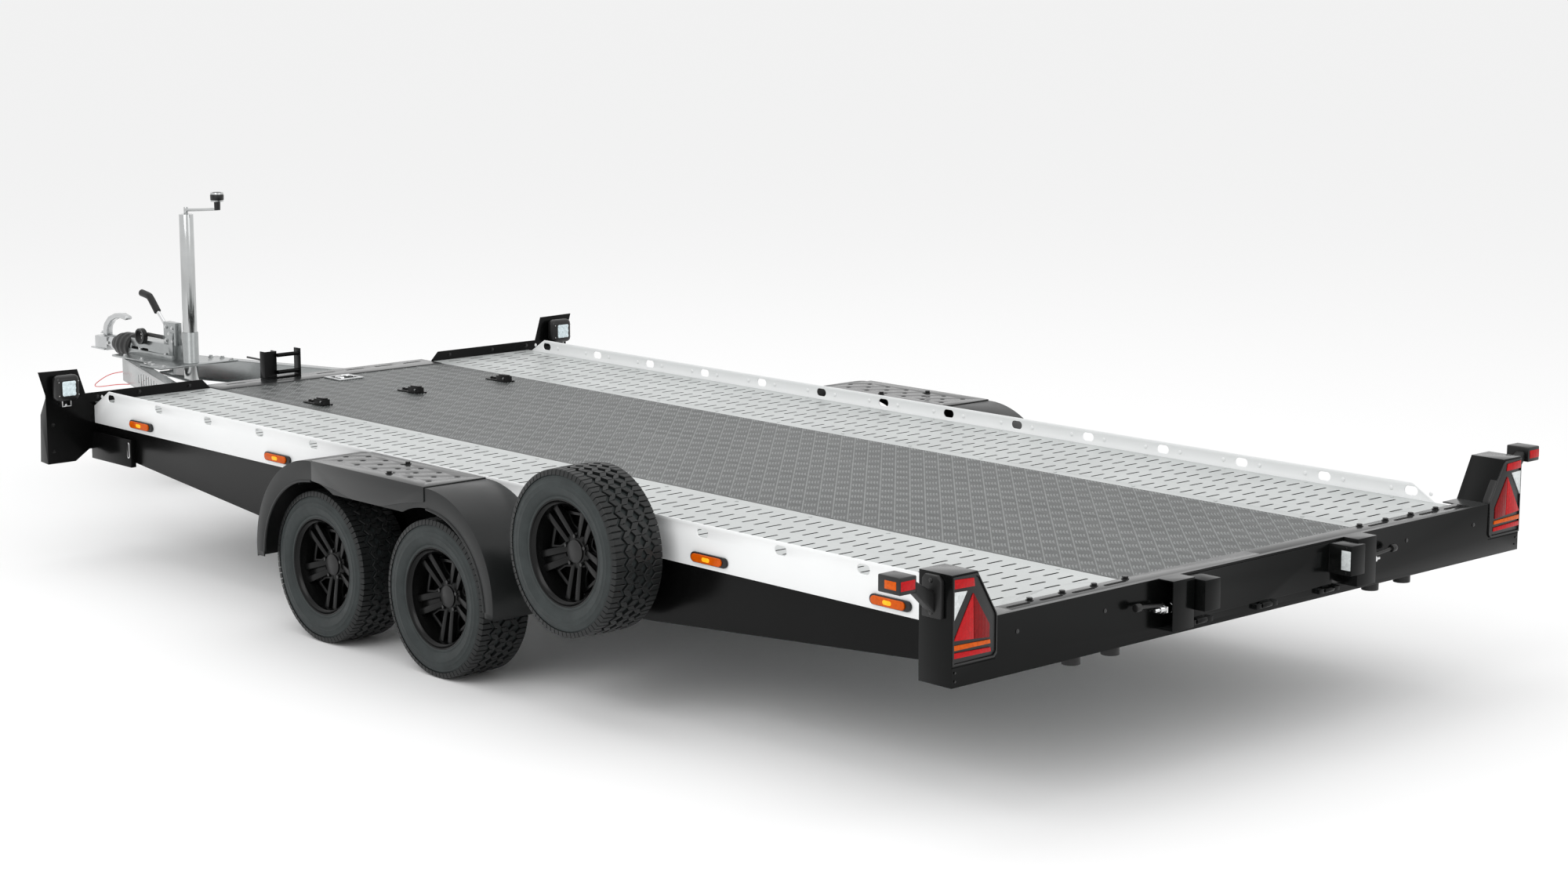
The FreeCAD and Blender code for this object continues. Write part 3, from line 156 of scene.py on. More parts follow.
class NodeTools:
    """Short calls for the nodes of one material."""

    def __init__(self, name: str) -> None:
        """Make the material and keep its shader.

        Args:
            name: the material's name.
        """
        self.material = bpy.data.materials.new(name)
        self.material.use_nodes = True
        self.tree = self.material.node_tree
        self.shader = self.tree.nodes["Principled BSDF"]
        self.coordinates = self.tree.nodes.new("ShaderNodeTexCoord").outputs["Object"]

    def mapped(self, scale: Point, turn: float = 0.0) -> bpy.types.NodeSocket:
        """Return object coordinates that are scaled and turned about Z."""
        node = self.tree.nodes.new("ShaderNodeMapping")
        node.inputs["Scale"].default_value = scale
        node.inputs["Rotation"].default_value = (0.0, 0.0, turn)
        self.tree.links.new(self.coordinates, node.inputs["Vector"])
        return node.outputs["Vector"]

    def noise(self, scale: float, detail: float = 3.0, stretch: Point = (1.0, 1.0, 1.0)) -> bpy.types.NodeSocket:
        """Return a noise of about 0 to 1.

        Args:
            scale: how many features there are in a metre.
            detail: the number of finer octaves.
            stretch: a scale for each axis, for streaks.

        Returns:
            The noise's factor socket.
        """
        node = self.tree.nodes.new("ShaderNodeTexNoise")
        node.inputs["Scale"].default_value = scale
        node.inputs["Detail"].default_value = detail
        self.tree.links.new(self.mapped(stretch), node.inputs["Vector"])
        return node.outputs["Fac"]

    def cells(self, scale: float) -> bpy.types.NodeSocket:
        """Return the random grey of Voronoi cells."""
        node = self.tree.nodes.new("ShaderNodeTexVoronoi")
        node.inputs["Scale"].default_value = scale
        self.tree.links.new(self.coordinates, node.inputs["Vector"])
        grey = self.tree.nodes.new("ShaderNodeSeparateColor")
        self.tree.links.new(node.outputs["Color"], grey.inputs["Color"])
        return grey.outputs["Red"]

    def bands(self, scale: float, direction: str) -> bpy.types.NodeSocket:
        """Return straight ribs across a direction."""
        node = self.tree.nodes.new("ShaderNodeTexWave")
        node.wave_type = "BANDS"
        node.bands_direction = direction
        node.inputs["Scale"].default_value = scale
        self.tree.links.new(self.coordinates, node.inputs["Vector"])
        return node.outputs["Fac"]

    def spread(self, factor: bpy.types.NodeSocket, low: float, high: float) -> bpy.types.NodeSocket:
        """Return a factor moved from 0 to 1 into a range."""
        node = self.tree.nodes.new("ShaderNodeMapRange")
        node.inputs["To Min"].default_value = low
        node.inputs["To Max"].default_value = high
        self.tree.links.new(factor, node.inputs["Value"])
        return node.outputs["Result"]

    def colours(self, factor: bpy.types.NodeSocket, low: Point, high: Point, start: float = 0.3,
                end: float = 0.7) -> None:
        """Drive the base colour between two colours.

        Args:
            factor: the pattern that mixes them.
            low: the colour at the start of the ramp.
            high: the colour at its end.
            start: the pattern's value where the ramp starts.
            end: the pattern's value where it ends.
        """
        ramp = self.tree.nodes.new("ShaderNodeValToRGB")
        ramp.color_ramp.elements[0].position = start
        ramp.color_ramp.elements[0].color = (*low, 1.0)
        ramp.color_ramp.elements[1].position = end
        ramp.color_ramp.elements[1].color = (*high, 1.0)
        self.tree.links.new(factor, ramp.inputs["Fac"])
        self.tree.links.new(ramp.outputs["Color"], self.shader.inputs["Base Color"])

    def rough(self, factor: bpy.types.NodeSocket, low: float, high: float) -> None:
        """Drive the roughness between two values."""
        self.tree.links.new(self.spread(factor, low, high), self.shader.inputs["Roughness"])

    def bump(self, height: bpy.types.NodeSocket, distance: float, strength: float = 1.0) -> None:
        """Raise the surface by a pattern, on top of an earlier bump.

        Args:
            height: the pattern.
            distance: the height in metres where the pattern is 1.
            strength: how much of it shows.
        """
        node = self.tree.nodes.new("ShaderNodeBump")
        node.inputs["Distance"].default_value = distance
        node.inputs["Strength"].default_value = strength
        self.tree.links.new(height, node.inputs["Height"])
        normal = self.shader.inputs["Normal"]
        if normal.links:
            self.tree.links.new(normal.links[0].from_socket, node.inputs["Normal"])
        self.tree.links.new(node.outputs["Normal"], normal)


def tinted(colour: Point, factor: float) -> Point:
    """Return a colour made lighter or darker."""
    return tuple(min(1.0, channel * factor) for channel in colour)


@dataclass(frozen=True)
class Finish:
    """A surface finish. Each kind of surface is a subclass that adds its own pattern."""

    name: str
    colour: Point
    roughness: float = 0.5
    metallic: float = 0.0
    coat: float = 0.0
    specular: float = 0.5

    def material(self) -> bpy.types.Material:
        """Return this finish's material, made once."""
        known = bpy.data.materials.get(self.name)
        if known is not None:
            return known
        tools = NodeTools(self.name)
        tools.shader.inputs["Base Color"].default_value = (*self.colour, 1.0)
        tools.shader.inputs["Roughness"].default_value = self.roughness
        tools.shader.inputs["Metallic"].default_value = self.metallic
        tools.shader.inputs["Specular IOR Level"].default_value = self.specular
        tools.shader.inputs["Coat Weight"].default_value = self.coat
        tools.shader.inputs["Coat Roughness"].default_value = 0.12
        self.pattern(tools)
        return tools.material

    def pattern(self, tools: NodeTools) -> None:
        """Add a light mottle, the least that any surface has."""
        tools.colours(tools.noise(14.0), tinted(self.colour, 0.9), tinted(self.colour, 1.1))


@dataclass(frozen=True)
class PowderCoat(Finish):
    """Baked paint with an orange peel and faint handling marks."""

    peel: float = 900.0
    mottle: float = 0.12

    def pattern(self, tools: NodeTools) -> None:
        """Add the peel, a slow mottle and duller patches."""
        low, high = tinted(self.colour, 1.0 - self.mottle), tinted(self.colour, 1.0 + self.mottle)
        tools.colours(tools.noise(5.0, 6.0), low, high)
        tools.rough(tools.noise(9.0, 5.0), self.roughness - self.mottle / 2, self.roughness + self.mottle / 2)
        tools.bump(tools.noise(self.peel, 2.0), 0.00012, 0.35)


@dataclass(frozen=True)
class Galvanised(Finish):
    """Zinc on steel, with its spangle and some dull streaks."""

    spangle: float = 70.0

    def pattern(self, tools: NodeTools) -> None:
        """Add the spangle's cells and the streaks."""
        tools.colours(tools.cells(self.spangle), tinted(self.colour, 0.97), tinted(self.colour, 1.03), 0.1, 0.9)
        tools.rough(tools.noise(12.0, 6.0), self.roughness - 0.02, self.roughness + 0.03)
        tools.bump(tools.noise(320.0, 3.0), 0.0001, 0.08)


@dataclass(frozen=True)
class RolledSheet(Finish):
    """Pale zinc sheet with rolling streaks along the trailer."""

    def pattern(self, tools: NodeTools) -> None:
        """Add streaks along X and a cloudy sheen."""
        tools.colours(tools.noise(3.0, 5.0), tinted(self.colour, 0.93), tinted(self.colour, 1.05))
        tools.rough(tools.noise(40.0, 4.0, (0.08, 1.0, 1.0)), self.roughness - 0.08, self.roughness + 0.1)
        tools.bump(tools.noise(600.0, 2.0, (0.05, 1.0, 1.0)), 0.00008, 0.3)


@dataclass(frozen=True)
class Rubber(Finish):
    """Black rubber with a dry bloom."""

    bloom: float = 1.3
    grain: float = 500.0

    def pattern(self, tools: NodeTools) -> None:
        """Add the bloom's clouds and a fine grain."""
        tools.colours(tools.noise(22.0, 7.0), self.colour, tinted(self.colour, self.bloom), 0.35, 0.75)
        tools.rough(tools.noise(60.0, 4.0), self.roughness - 0.06, self.roughness + 0.1)
        tools.bump(tools.noise(self.grain, 4.0), 0.00025, 0.4)


@dataclass(frozen=True)
class MouldedPlastic(Finish):
    """Moulded plastic with a leather-like grain."""

    grain: float = 420.0

    def pattern(self, tools: NodeTools) -> None:
        """Add the moulding's grain and a slow mottle."""
        tools.colours(tools.noise(4.0, 5.0), tinted(self.colour, 0.9), tinted(self.colour, 1.12))
        tools.rough(tools.noise(16.0, 5.0), self.roughness - 0.06, self.roughness + 0.08)
        tools.bump(tools.cells(self.grain), 0.00015, 0.35)


@dataclass(frozen=True)
class Lens(Finish):
    """A coloured lamp lens with moulded ribs and a little glow."""

    ribs: float = 26.0
    direction: str = "Y"
    glow: float = 0.25

    def pattern(self, tools: NodeTools) -> None:
        """Add the ribs, a mottle of the reflector behind them and the glow."""
        tools.colours(tools.cells(140.0), tinted(self.colour, 0.9), tinted(self.colour, 1.12), 0.0, 1.0)
        tools.bump(tools.bands(self.ribs, self.direction), 0.0006, 0.35)
        tools.shader.inputs["Emission Color"].default_value = (*self.colour, 1.0)
        tools.shader.inputs["Emission Strength"].default_value = self.glow


@dataclass(frozen=True)
class Paper(Finish):
    """The studio's plain floor, without a pattern."""

    def pattern(self, tools: NodeTools) -> None:
        """Leave the colour as it is."""


@dataclass(frozen=True)
class BrightMetal(Finish):
    """Turned or plated metal with fine marks."""

    def pattern(self, tools: NodeTools) -> None:
        """Add fine marks round the part and a slight tone."""
        tools.colours(tools.noise(18.0, 4.0), tinted(self.colour, 0.95), tinted(self.colour, 1.03))
        tools.rough(tools.noise(120.0, 4.0, (1.0, 1.0, 0.1)), self.roughness - 0.02, self.roughness + 0.04)


BLACK_STEEL = PowderCoat("black_powder_coat", (0.0028, 0.0029, 0.0029), 0.2, specular=0.12)
REAR_BLACK = PowderCoat("rear_black_coat", (0.0028, 0.0031, 0.003), 0.17, specular=0.12)
# The front plate's own coat. On the rear beam's and step plates' upward faces and on the rear flange strip it is a
# lighter copy that paints a highlight.
PLATE_AND_TOP_HIGHLIGHT_GREY = PowderCoat("front_plate_coat", (0.016, 0.017, 0.017), 0.2, specular=0.5)
RAIL_WHITE = PowderCoat("rail_white_paint", (0.82, 0.83, 0.83), 0.32, coat=0.1, mottle=0.012)
ZINC = Galvanised("galvanised_steel", (0.36, 0.375, 0.375), 0.24, 0.9)
ZINC_TUBE = BrightMetal("bright_zinc_tube", (0.5, 0.51, 0.51), 0.12, 1.0)
CAST_SILVER = BrightMetal("cast_silver", (0.56, 0.57, 0.575), 0.22, 0.9)
CHROME = BrightMetal("bright_chrome", (0.66, 0.665, 0.67), 0.08, 1.0)
TRACK_ZINC = RolledSheet("wheel_track_zinc", (0.52, 0.54, 0.535), 0.36, 0.25)
# Near-black for the tracks' cut edges and slot walls: painted shade in the slots.
TRACK_SLOT_SHADE = PowderCoat("track_cut_edges", (0.03, 0.031, 0.031), 0.6, specular=0.2)
TREAD_PLATE = RolledSheet("tread_plate_grey", (0.035, 0.0395, 0.0385), 0.4, 0.1)
TREAD_BAR = RolledSheet("tread_bar_grey", (0.13, 0.141, 0.139), 0.34, 0.2)
FENDER_BLACK = MouldedPlastic("fender_plastic", (0.01, 0.011, 0.011), 0.34, specular=0.34)
STEP_BLACK = PowderCoat("step_plate_coat", (0.01, 0.011, 0.011), 0.24, specular=0.5)
SIDEWALL = Rubber("tyre_sidewall", (0.021, 0.026, 0.026), 0.5, specular=0.28, bloom=1.4)
TREAD = Rubber("tyre_tread", (0.0085, 0.0095, 0.0095), 0.42, specular=0.34, bloom=1.3)
# Near-black rubber for the ground between the tread blocks: painted shade in the grooves.
GROOVE_SHADE = Rubber("tyre_groove", (0.0025, 0.0025, 0.0025), 0.8, specular=0.05)
RIM_BLACK = PowderCoat("rim_satin_black", (0.0022, 0.0023, 0.0023), 0.26, specular=0.22, peel=500.0)
# Dark black for the wheel drums and the corner seams. It also makes the inlays that paint shade inside the slots of the
# rear flange and the overrun housing.
DARK_BLACK_AND_SLOT_SHADE = PowderCoat("rim_inside_black", (0.0015, 0.0015, 0.0015), 0.6, specular=0.06)
SOFT_BLACK = Rubber("soft_black_rubber", (0.009, 0.009, 0.009), 0.42, specular=0.34)
HARD_BLACK = MouldedPlastic("hard_black_plastic", (0.007, 0.007, 0.007), 0.3, specular=0.4)
BOLT_BLACK = PowderCoat("black_bolts", (0.006, 0.006, 0.006), 0.24)
BOLT_ZINC = BrightMetal("zinc_bolts", (0.6, 0.61, 0.61), 0.25, 0.9)
RED_LENS = Lens("red_lens", (0.42, 0.003, 0.006), 0.16, specular=0.16, coat=0.04, glow=0.02)
DARK_RED_LENS = Lens("dark_red_lens", (0.19, 0.002, 0.003), 0.18, specular=0.14, coat=0.03, glow=0.005)
AMBER_LENS = Lens("amber_lens", (0.56, 0.085, 0.0015), 0.16, specular=0.14, coat=0.03, ribs=34.0, glow=0.03)
AMBER_CORE = Lens("amber_core", (0.95, 0.42, 0.015), 0.2, specular=0.14, ribs=60.0, glow=0.3)
CLEAR_LENS = Lens("clear_lens", (0.6, 0.63, 0.63), 0.1, coat=0.3, ribs=60.0, direction="Z", glow=0.03)
LED_LENS = Lens("work_lamp_lens", (0.62, 0.72, 0.75), 0.12, coat=0.3, ribs=80.0, glow=0.08)
RED_CABLE = Rubber("red_cable_sleeve", (0.62, 0.012, 0.012), 0.4, bloom=1.15)
RAMP_ALLOY = RolledSheet("ramp_alloy", (0.5, 0.51, 0.52), 0.4, 0.7)


class Shape:
    """A mesh made of several closed parts, each with a finish of its own."""

    def __init__(self) -> None:
        """Start an empty mesh."""
        self.mesh = bmesh.new()
        self.finishes: list[Finish] = []

    def slot_of(self, finish: Finish) -> int:
        """Return the number of a finish's material slot, added where it is new."""
        if finish not in self.finishes:
            self.finishes.append(finish)
        return self.finishes.index(finish)

    def take(self, part: bmesh.types.BMesh, finish: Finish, recalculate: bool = True) -> None:
        """Add a finished part to this shape.

        Args:
            part: the part's mesh, which is freed.
            finish: what all its faces are finished with.
            recalculate: whether the faces are turned outwards first.
        """
        if recalculate:
            bmesh.ops.recalc_face_normals(part, faces=part.faces)
        index = self.slot_of(finish)
        for face in part.faces:
            face.material_index = index
        holder = bpy.data.meshes.new("part")
        part.to_mesh(holder)
        part.free()
        self.mesh.from_mesh(holder)
        bpy.data.meshes.remove(holder)

    def block(self, low: Point, high: Point, finish: Finish, bevel: float = 0.0, segments: int = 2,
              turn: Matrix | None = None) -> None:
        """Add a box with rounded edges.

        Args:
            low: one corner.
            high: the opposite corner.
            finish: its finish.
            bevel: the radius of its edges.
            segments: how many faces round an edge.
            turn: a rotation about the box's middle.
        """
        low_corner = Vector(map(min, low, high))
        high_corner = Vector(map(max, low, high))
        part = bmesh.new()
        bmesh.ops.create_cube(part, size=1.0)
        bmesh.ops.scale(part, vec=high_corner - low_corner, verts=part.verts)
        if bevel > 0.0:
            round_edges(part, part.edges[:], bevel, segments)
        if turn is not None:
            bmesh.ops.transform(part, matrix=turn, verts=part.verts)
        bmesh.ops.translate(part, vec=(low_corner + high_corner) / 2, verts=part.verts)
        self.take(part, finish)

    def rod(self, start: Point, end: Point, radius: float, finish: Finish, sides: int = 24,
            bevel: float = 0.0, end_radius: float | None = None) -> None:
        """Add a round bar, cone, or with few sides a hexagon.

        Args:
            start: the middle of one end.
            end: the middle of the other end.
            radius: the radius at the start.
            finish: its finish.
            sides: how many faces go round it.
            bevel: the radius of its end edges.
            end_radius: the radius at the end, if it differs.
        """
        along = Vector(end) - Vector(start)
        part = bmesh.new()
        bmesh.ops.create_cone(
            part, cap_ends=True, segments=sides, radius1=radius,
            radius2=radius if end_radius is None else end_radius, depth=along.length,
        )
        if bevel > 0.0:
            rims = [edge for edge in part.edges if any(len(face.verts) > 4 or sides < 5 for face in edge.link_faces)]
            round_edges(part, rims, bevel, 2)
        bmesh.ops.rotate(part, matrix=along.to_track_quat("Z", "Y").to_matrix(), verts=part.verts)
        bmesh.ops.translate(part, vec=(Vector(start) + Vector(end)) / 2, verts=part.verts)
        self.take(part, finish)

    def turned(self, profile: Sequence[Flat], centre: Point, axis: Axis, finish: Finish, steps: int = 64,
               closed: bool = True) -> None:
        """Add a shape that a profile sweeps round an axis.

        Args:
            profile: (radius, distance along the axis) of each corner.
            centre: the point where both are zero.
            axis: the axis it turns about.
            finish: its finish.
            steps: how many faces go round it.
            closed: whether the profile is a loop.
        """
        part = bmesh.new()
        away = Vector(Axis.X.value if axis is not Axis.X else Axis.Z.value)
        along = Vector(axis.value)
        verts = [part.verts.new(Vector(centre) + away * radius + along * reach) for radius, reach in profile]
        pairs = zip(verts, verts[1:] + verts[:1]) if closed else zip(verts, verts[1:])
        edges = [part.edges.new(pair) for pair in pairs]
        bmesh.ops.spin(
            part, geom=[*verts, *edges], cent=centre, axis=axis.value, angle=FULL_TURN, steps=steps,
            dvec=(0.0, 0.0, 0.0), use_merge=True, use_duplicate=False,
        )
        bmesh.ops.remove_doubles(part, verts=part.verts, dist=1e-6)
        self.take(part, finish)

    def prism(self, outline: Sequence[Point], push: Point, finish: Finish, bevel: float = 0.0,
              holes: Sequence[Sequence[Point]] = (), segments: int = 2) -> None:
        """Add a flat outline pushed into a solid.

        Args:
            outline: its corners, in order, in one plane.
            push: how far and which way it is pushed.
            finish: its finish.
            bevel: the radius of its edges.
            holes: outlines of the holes through it.
            segments: how many faces round an edge.
        """
        part = bmesh.new()
        edges = []
        for loop in (outline, *holes):
            verts = [part.verts.new(corner) for corner in loop]
            edges += [part.edges.new(pair) for pair in zip(verts, verts[1:] + verts[:1])]
        if holes:
            bmesh.ops.triangle_fill(part, use_beauty=True, use_dissolve=False, edges=edges)
        else:
            part.faces.new(part.verts[:])
        pushed = bmesh.ops.extrude_face_region(part, geom=part.faces[:], use_keep_orig=True)
        moved = [item for item in pushed["geom"] if isinstance(item, bmesh.types.BMVert)]
        bmesh.ops.translate(part, vec=push, verts=moved)
        bmesh.ops.recalc_face_normals(part, faces=part.faces)
        if bevel > 0.0:
            sharp = [e for e in part.edges if e.is_manifold and e.calc_face_angle(0.0) > math.radians(20)]
            round_edges(part, sharp, bevel, segments)
        self.take(part, finish)

    def tube(self, points: Sequence[Point], radius: float, finish: Finish, sides: int = 6) -> None:
        """Add a round bar along a smooth line.

        Args:
            points: the line's control points, which it starts and ends at.
            radius: the bar's radius.
            finish: its finish.
            sides: the curve's bevel resolution.
        """
        curve = smooth_curve("bar", points, radius, sides, 8)
        holder = bpy.data.objects.new("bar", curve)
        solid = bpy.data.meshes.new_from_object(holder)
        part = bmesh.new()
        part.from_mesh(solid)
        bpy.data.objects.remove(holder)
        bpy.data.curves.remove(curve)
        bpy.data.meshes.remove(solid)
        bmesh.ops.remove_doubles(part, verts=part.verts, dist=1e-6)
        self.take(part, finish)

    def bolt(self, at: Point, out: Point, radius: float, finish: Finish, washer: bool = True) -> None:
        """Add a hexagon head on a washer.

        Args:
            at: the middle of the surface it is tightened on.
            out: the direction away from that surface.
            radius: the head's radius.
            finish: its finish.
            washer: whether it has a washer.
        """
        base = Vector(at)
        away = Vector(out).normalized()
        if washer:
            self.rod(base, base + away * radius * 0.22, radius * 1.35, finish, 20)
        self.rod(base + away * radius * 0.15, base + away * radius * 0.95, radius, finish, 6, radius * 0.12)

    def dome(self, at: Point, out: Point, radius: float, finish: Finish) -> None:
        """Add a low round head.

        Args:
            at: the middle of the surface it sits on.
            out: the direction away from that surface.
            radius: the head's radius.
            finish: its finish.
        """
        base = Vector(at)
        away = Vector(out).normalized()
        self.rod(base, base + away * radius * 0.4, radius, finish, 16, radius * 0.3, radius * 0.8)

    def mirrored(self) -> None:
        """Reflect the whole shape to the trailer's other side."""
        bmesh.ops.scale(self.mesh, vec=(1.0, -1.0, 1.0), verts=self.mesh.verts)
        bmesh.ops.reverse_faces(self.mesh, faces=self.mesh.faces)

    def moved(self, by: Point) -> None:
        """Move the whole shape."""
        bmesh.ops.translate(self.mesh, vec=by, verts=self.mesh.verts)

    def made(self, name: str, body: str, slot: str, replaces: Iterable[str] = (),
             sharp: float = 32.0) -> bpy.types.Object:
        """Turn the shape into a piece that rides on a body.

        Args:
            name: the piece's name.
            body: the body that it moves with.
            slot: the record's slot; not used.
            replaces: the nodes that it stands for.
            sharp: the angle in degrees past which an edge stays sharp.

        Returns:
            The piece's object.
        """
        data = bpy.data.meshes.new(name)
        self.mesh.to_mesh(data)
        self.mesh.free()
        for finish in self.finishes:
            data.materials.append(finish.material())
        for polygon in data.polygons:
            polygon.use_smooth = True
        data.set_sharp_from_angle(angle=math.radians(sharp))
        piece = bpy.data.objects.new(name, data)
        bpy.context.scene.collection.objects.link(piece)
        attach(piece, body)
        if replaces:
            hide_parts(*replaces)
        LOG.info("made %s with %d faces", name, len(data.polygons))
        return piece


def round_edges(part: bmesh.types.BMesh, edges: list[bmesh.types.BMEdge], radius: float, segments: int) -> None:
    """Bevel some edges of a part."""
    bmesh.ops.bevel(
        part, geom=edges, offset=radius, offset_type="OFFSET", segments=segments, profile=0.5,
        affect="EDGES", material=-1, clamp_overlap=True,
    )


NODE_SLOT = {part["node"]: part["material_slot"] for part in frame["record"]["subparts"]}
NODE_BODY = {node: body for body, nodes in frame["record"]["behaviour"]["bodies"].items() for node in nodes}


def node_mesh(node: str) -> bmesh.types.BMesh:
    """Return a copy of a node's mesh with its doubled corners merged."""
    part = bmesh.new()
    part.from_mesh(frame["nodes"][node].data)
    bmesh.ops.remove_doubles(part, verts=part.verts, dist=2e-5)
    return part


@dataclass
class Pressings:
    """Folded, cut and turned steel pieces, shown as their own solids with softened edges."""

    radius: float = 0.0018
    crease: float = 30.0

    def second_finish(self, shape: Shape, finish: Finish, chosen: Callable[[bmesh.types.BMFace], bool]) -> None:
        """Give some faces of a shape with one finish a second one.

        Args:
            shape: the shape.
            finish: its second finish.
            chosen: says which faces have it.
        """
        shape.slot_of(finish)
        shape.mesh.normal_update()
        for face in shape.mesh.faces:
            face.material_index = 1 if chosen(face) else 0

    def punched(self, node: str, finish: Finish, edge: Finish) -> None:
        """Make a piece from a flat sheet's node, with its cut edges and slot walls in a dark finish of their own, which
        paints shade into the slots.

        Args:
            node: the node that it stands for.
            finish: the finish of its two faces.
            edge: the dark finish of its cut edges and slot walls, painted shade.
        """
        part = node_mesh(node)
        part.normal_update()
        shape = Shape()
        shape.take(part, finish, recalculate=False)
        # Faces that don't look up or down, the slot walls and edges, are made dark: painted shade.
        self.second_finish(shape, edge, lambda face: abs(face.normal.z) < 0.5)
        shape.made(f"punched_{node}", NODE_BODY[node], NODE_SLOT[node], [node])

    def soften(self, node: str, finish: Finish, top: Finish | None = None) -> None:
        """Make a piece from a node, with its edges rounded.

        Args:
            node: the node that it stands for.
            finish: its finish.
            top: the finish of the faces that look straight up, if they have one of their own; it is lighter than the
                sides, a painted highlight.
        """
        part = node_mesh(node)
        bmesh.ops.dissolve_limit(part, angle_limit=math.radians(0.6), verts=part.verts, edges=part.edges)
        bmesh.ops.triangulate(part, faces=[f for f in part.faces if len(f.verts) > 4])
        limit = math.radians(self.crease)
        sharp = [e for e in part.edges if e.is_manifold and e.calc_face_angle(0.0) > limit]
        round_edges(part, sharp, self.radius, 2)
        shape = Shape()
        shape.take(part, finish, recalculate=False)
        # A lighter finish on the upward faces paints a highlight on them.
        if top is not None:
            self.second_finish(shape, top, lambda face: face.normal.z > 0.9)
        shape.made(f"soft_{node}", NODE_BODY[node], NODE_SLOT[node], [node])

    def dress(self, node: str, finish: Finish) -> None:
        """Give a node's own object a finish."""
        data = frame["nodes"][node].data
        data.materials.clear()
        data.materials.append(finish.material())

    def build(self) -> None:
        """Soften the pieces whose edges show and dress the rest."""
        softened = {
            "side_beam_left": BLACK_STEEL, "side_beam_right": BLACK_STEEL, "rear_beam": REAR_BLACK,
            "front_guard_left": BLACK_STEEL, "front_guard_right": BLACK_STEEL, "front_plate": PLATE_AND_TOP_HIGHLIGHT_GREY,
            "side_rail_left": RAIL_WHITE, "side_rail_right": RAIL_WHITE, "ramp_flap": REAR_BLACK,
            "step_plates": STEP_BLACK, "drawbar_beam_left": ZINC, "drawbar_beam_right": ZINC,
            "nose_plate": ZINC, "brake_bracket": ZINC, "jockey_fork": ZINC, "fender_left": FENDER_BLACK,
            "fender_right": FENDER_BLACK, "winch_bracket": BLACK_STEEL, "spare_carrier": BLACK_STEEL,
            "lashing_fittings": BLACK_STEEL, "latch_bolts": CHROME, "rear_buffers": SOFT_BLACK,
            "axle_front": ZINC, "axle_rear": ZINC, "jockey_wheel": SOFT_BLACK, "jack_tube": ZINC_TUBE,
            "jack_leg": ZINC_TUBE, "jack_crank": ZINC_TUBE, "overrun_housing": ZINC,
            "coupling_head": CAST_SILVER, "bellows": SOFT_BLACK, "outriggers": BLACK_STEEL,
        }
        dressed = {
            "cross_beams": BLACK_STEEL, "centre_plate": TREAD_PLATE, "ramp_runners": ZINC,
            "loading_ramps": RAMP_ALLOY, "brake_rod": ZINC,
        }
        # Upward faces of these pieces get a lighter, glossier coat than their sides: a painted highlight.
        painted_highlight_tops = {"rear_beam": PLATE_AND_TOP_HIGHLIGHT_GREY, "step_plates": PLATE_AND_TOP_HIGHLIGHT_GREY}
        for node, finish in softened.items():
            self.soften(node, finish, painted_highlight_tops.get(node))
        for node, finish in dressed.items():
            self.dress(node, finish)
        for side in Side:
            self.punched(f"wheel_track_{side.label}", TRACK_ZINC, TRACK_SLOT_SHADE)


@dataclass
class BreakawayCable:
    """The thin red cable that hangs in a free loop from the relay lever and back to its cross pin."""

    radius: float = 0.00175
    length: float = 1.07
    route: tuple[Point, ...] = (
        (5.9, 0.0, 0.47), (5.93, 0.0, 0.47), (5.975, 0.003, 0.466), (6.031, 0.012, 0.459), (6.085, 0.023, 0.45),
        (6.138, 0.034, 0.439), (6.191, 0.043, 0.427), (6.245, 0.051, 0.416), (6.295, 0.055, 0.406),
        (6.338, 0.058, 0.394), (6.368, 0.067, 0.379), (6.384, 0.084, 0.363), (6.38, 0.104, 0.352),
        (6.36, 0.117, 0.348), (6.331, 0.124, 0.349), (6.291, 0.127, 0.354), (6.24, 0.125, 0.363),
        (6.186, 0.12, 0.373), (6.131, 0.112, 0.381), (6.076, 0.105, 0.386), (6.024, 0.103, 0.393),
        (5.979, 0.104, 0.406), (5.946, 0.106, 0.421), (5.921, 0.106, 0.434), (5.903, 0.1, 0.445),
        (5.893, 0.089, 0.451), (5.89, 0.077, 0.452), (5.89, 0.066, 0.452),
    )

    def build(self) -> None:
        points = [(station(distance), across, up) for distance, across, up in self.route]
        curve = smooth_curve("red_breakaway_cable", points, self.radius, 4, 10)
        curve.materials.append(RED_CABLE.material())
        cable = bpy.data.objects.new("red_breakaway_cable", curve)
        bpy.context.scene.collection.objects.link(cable)
        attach(cable, CHASSIS)
        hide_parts("breakaway_cable")


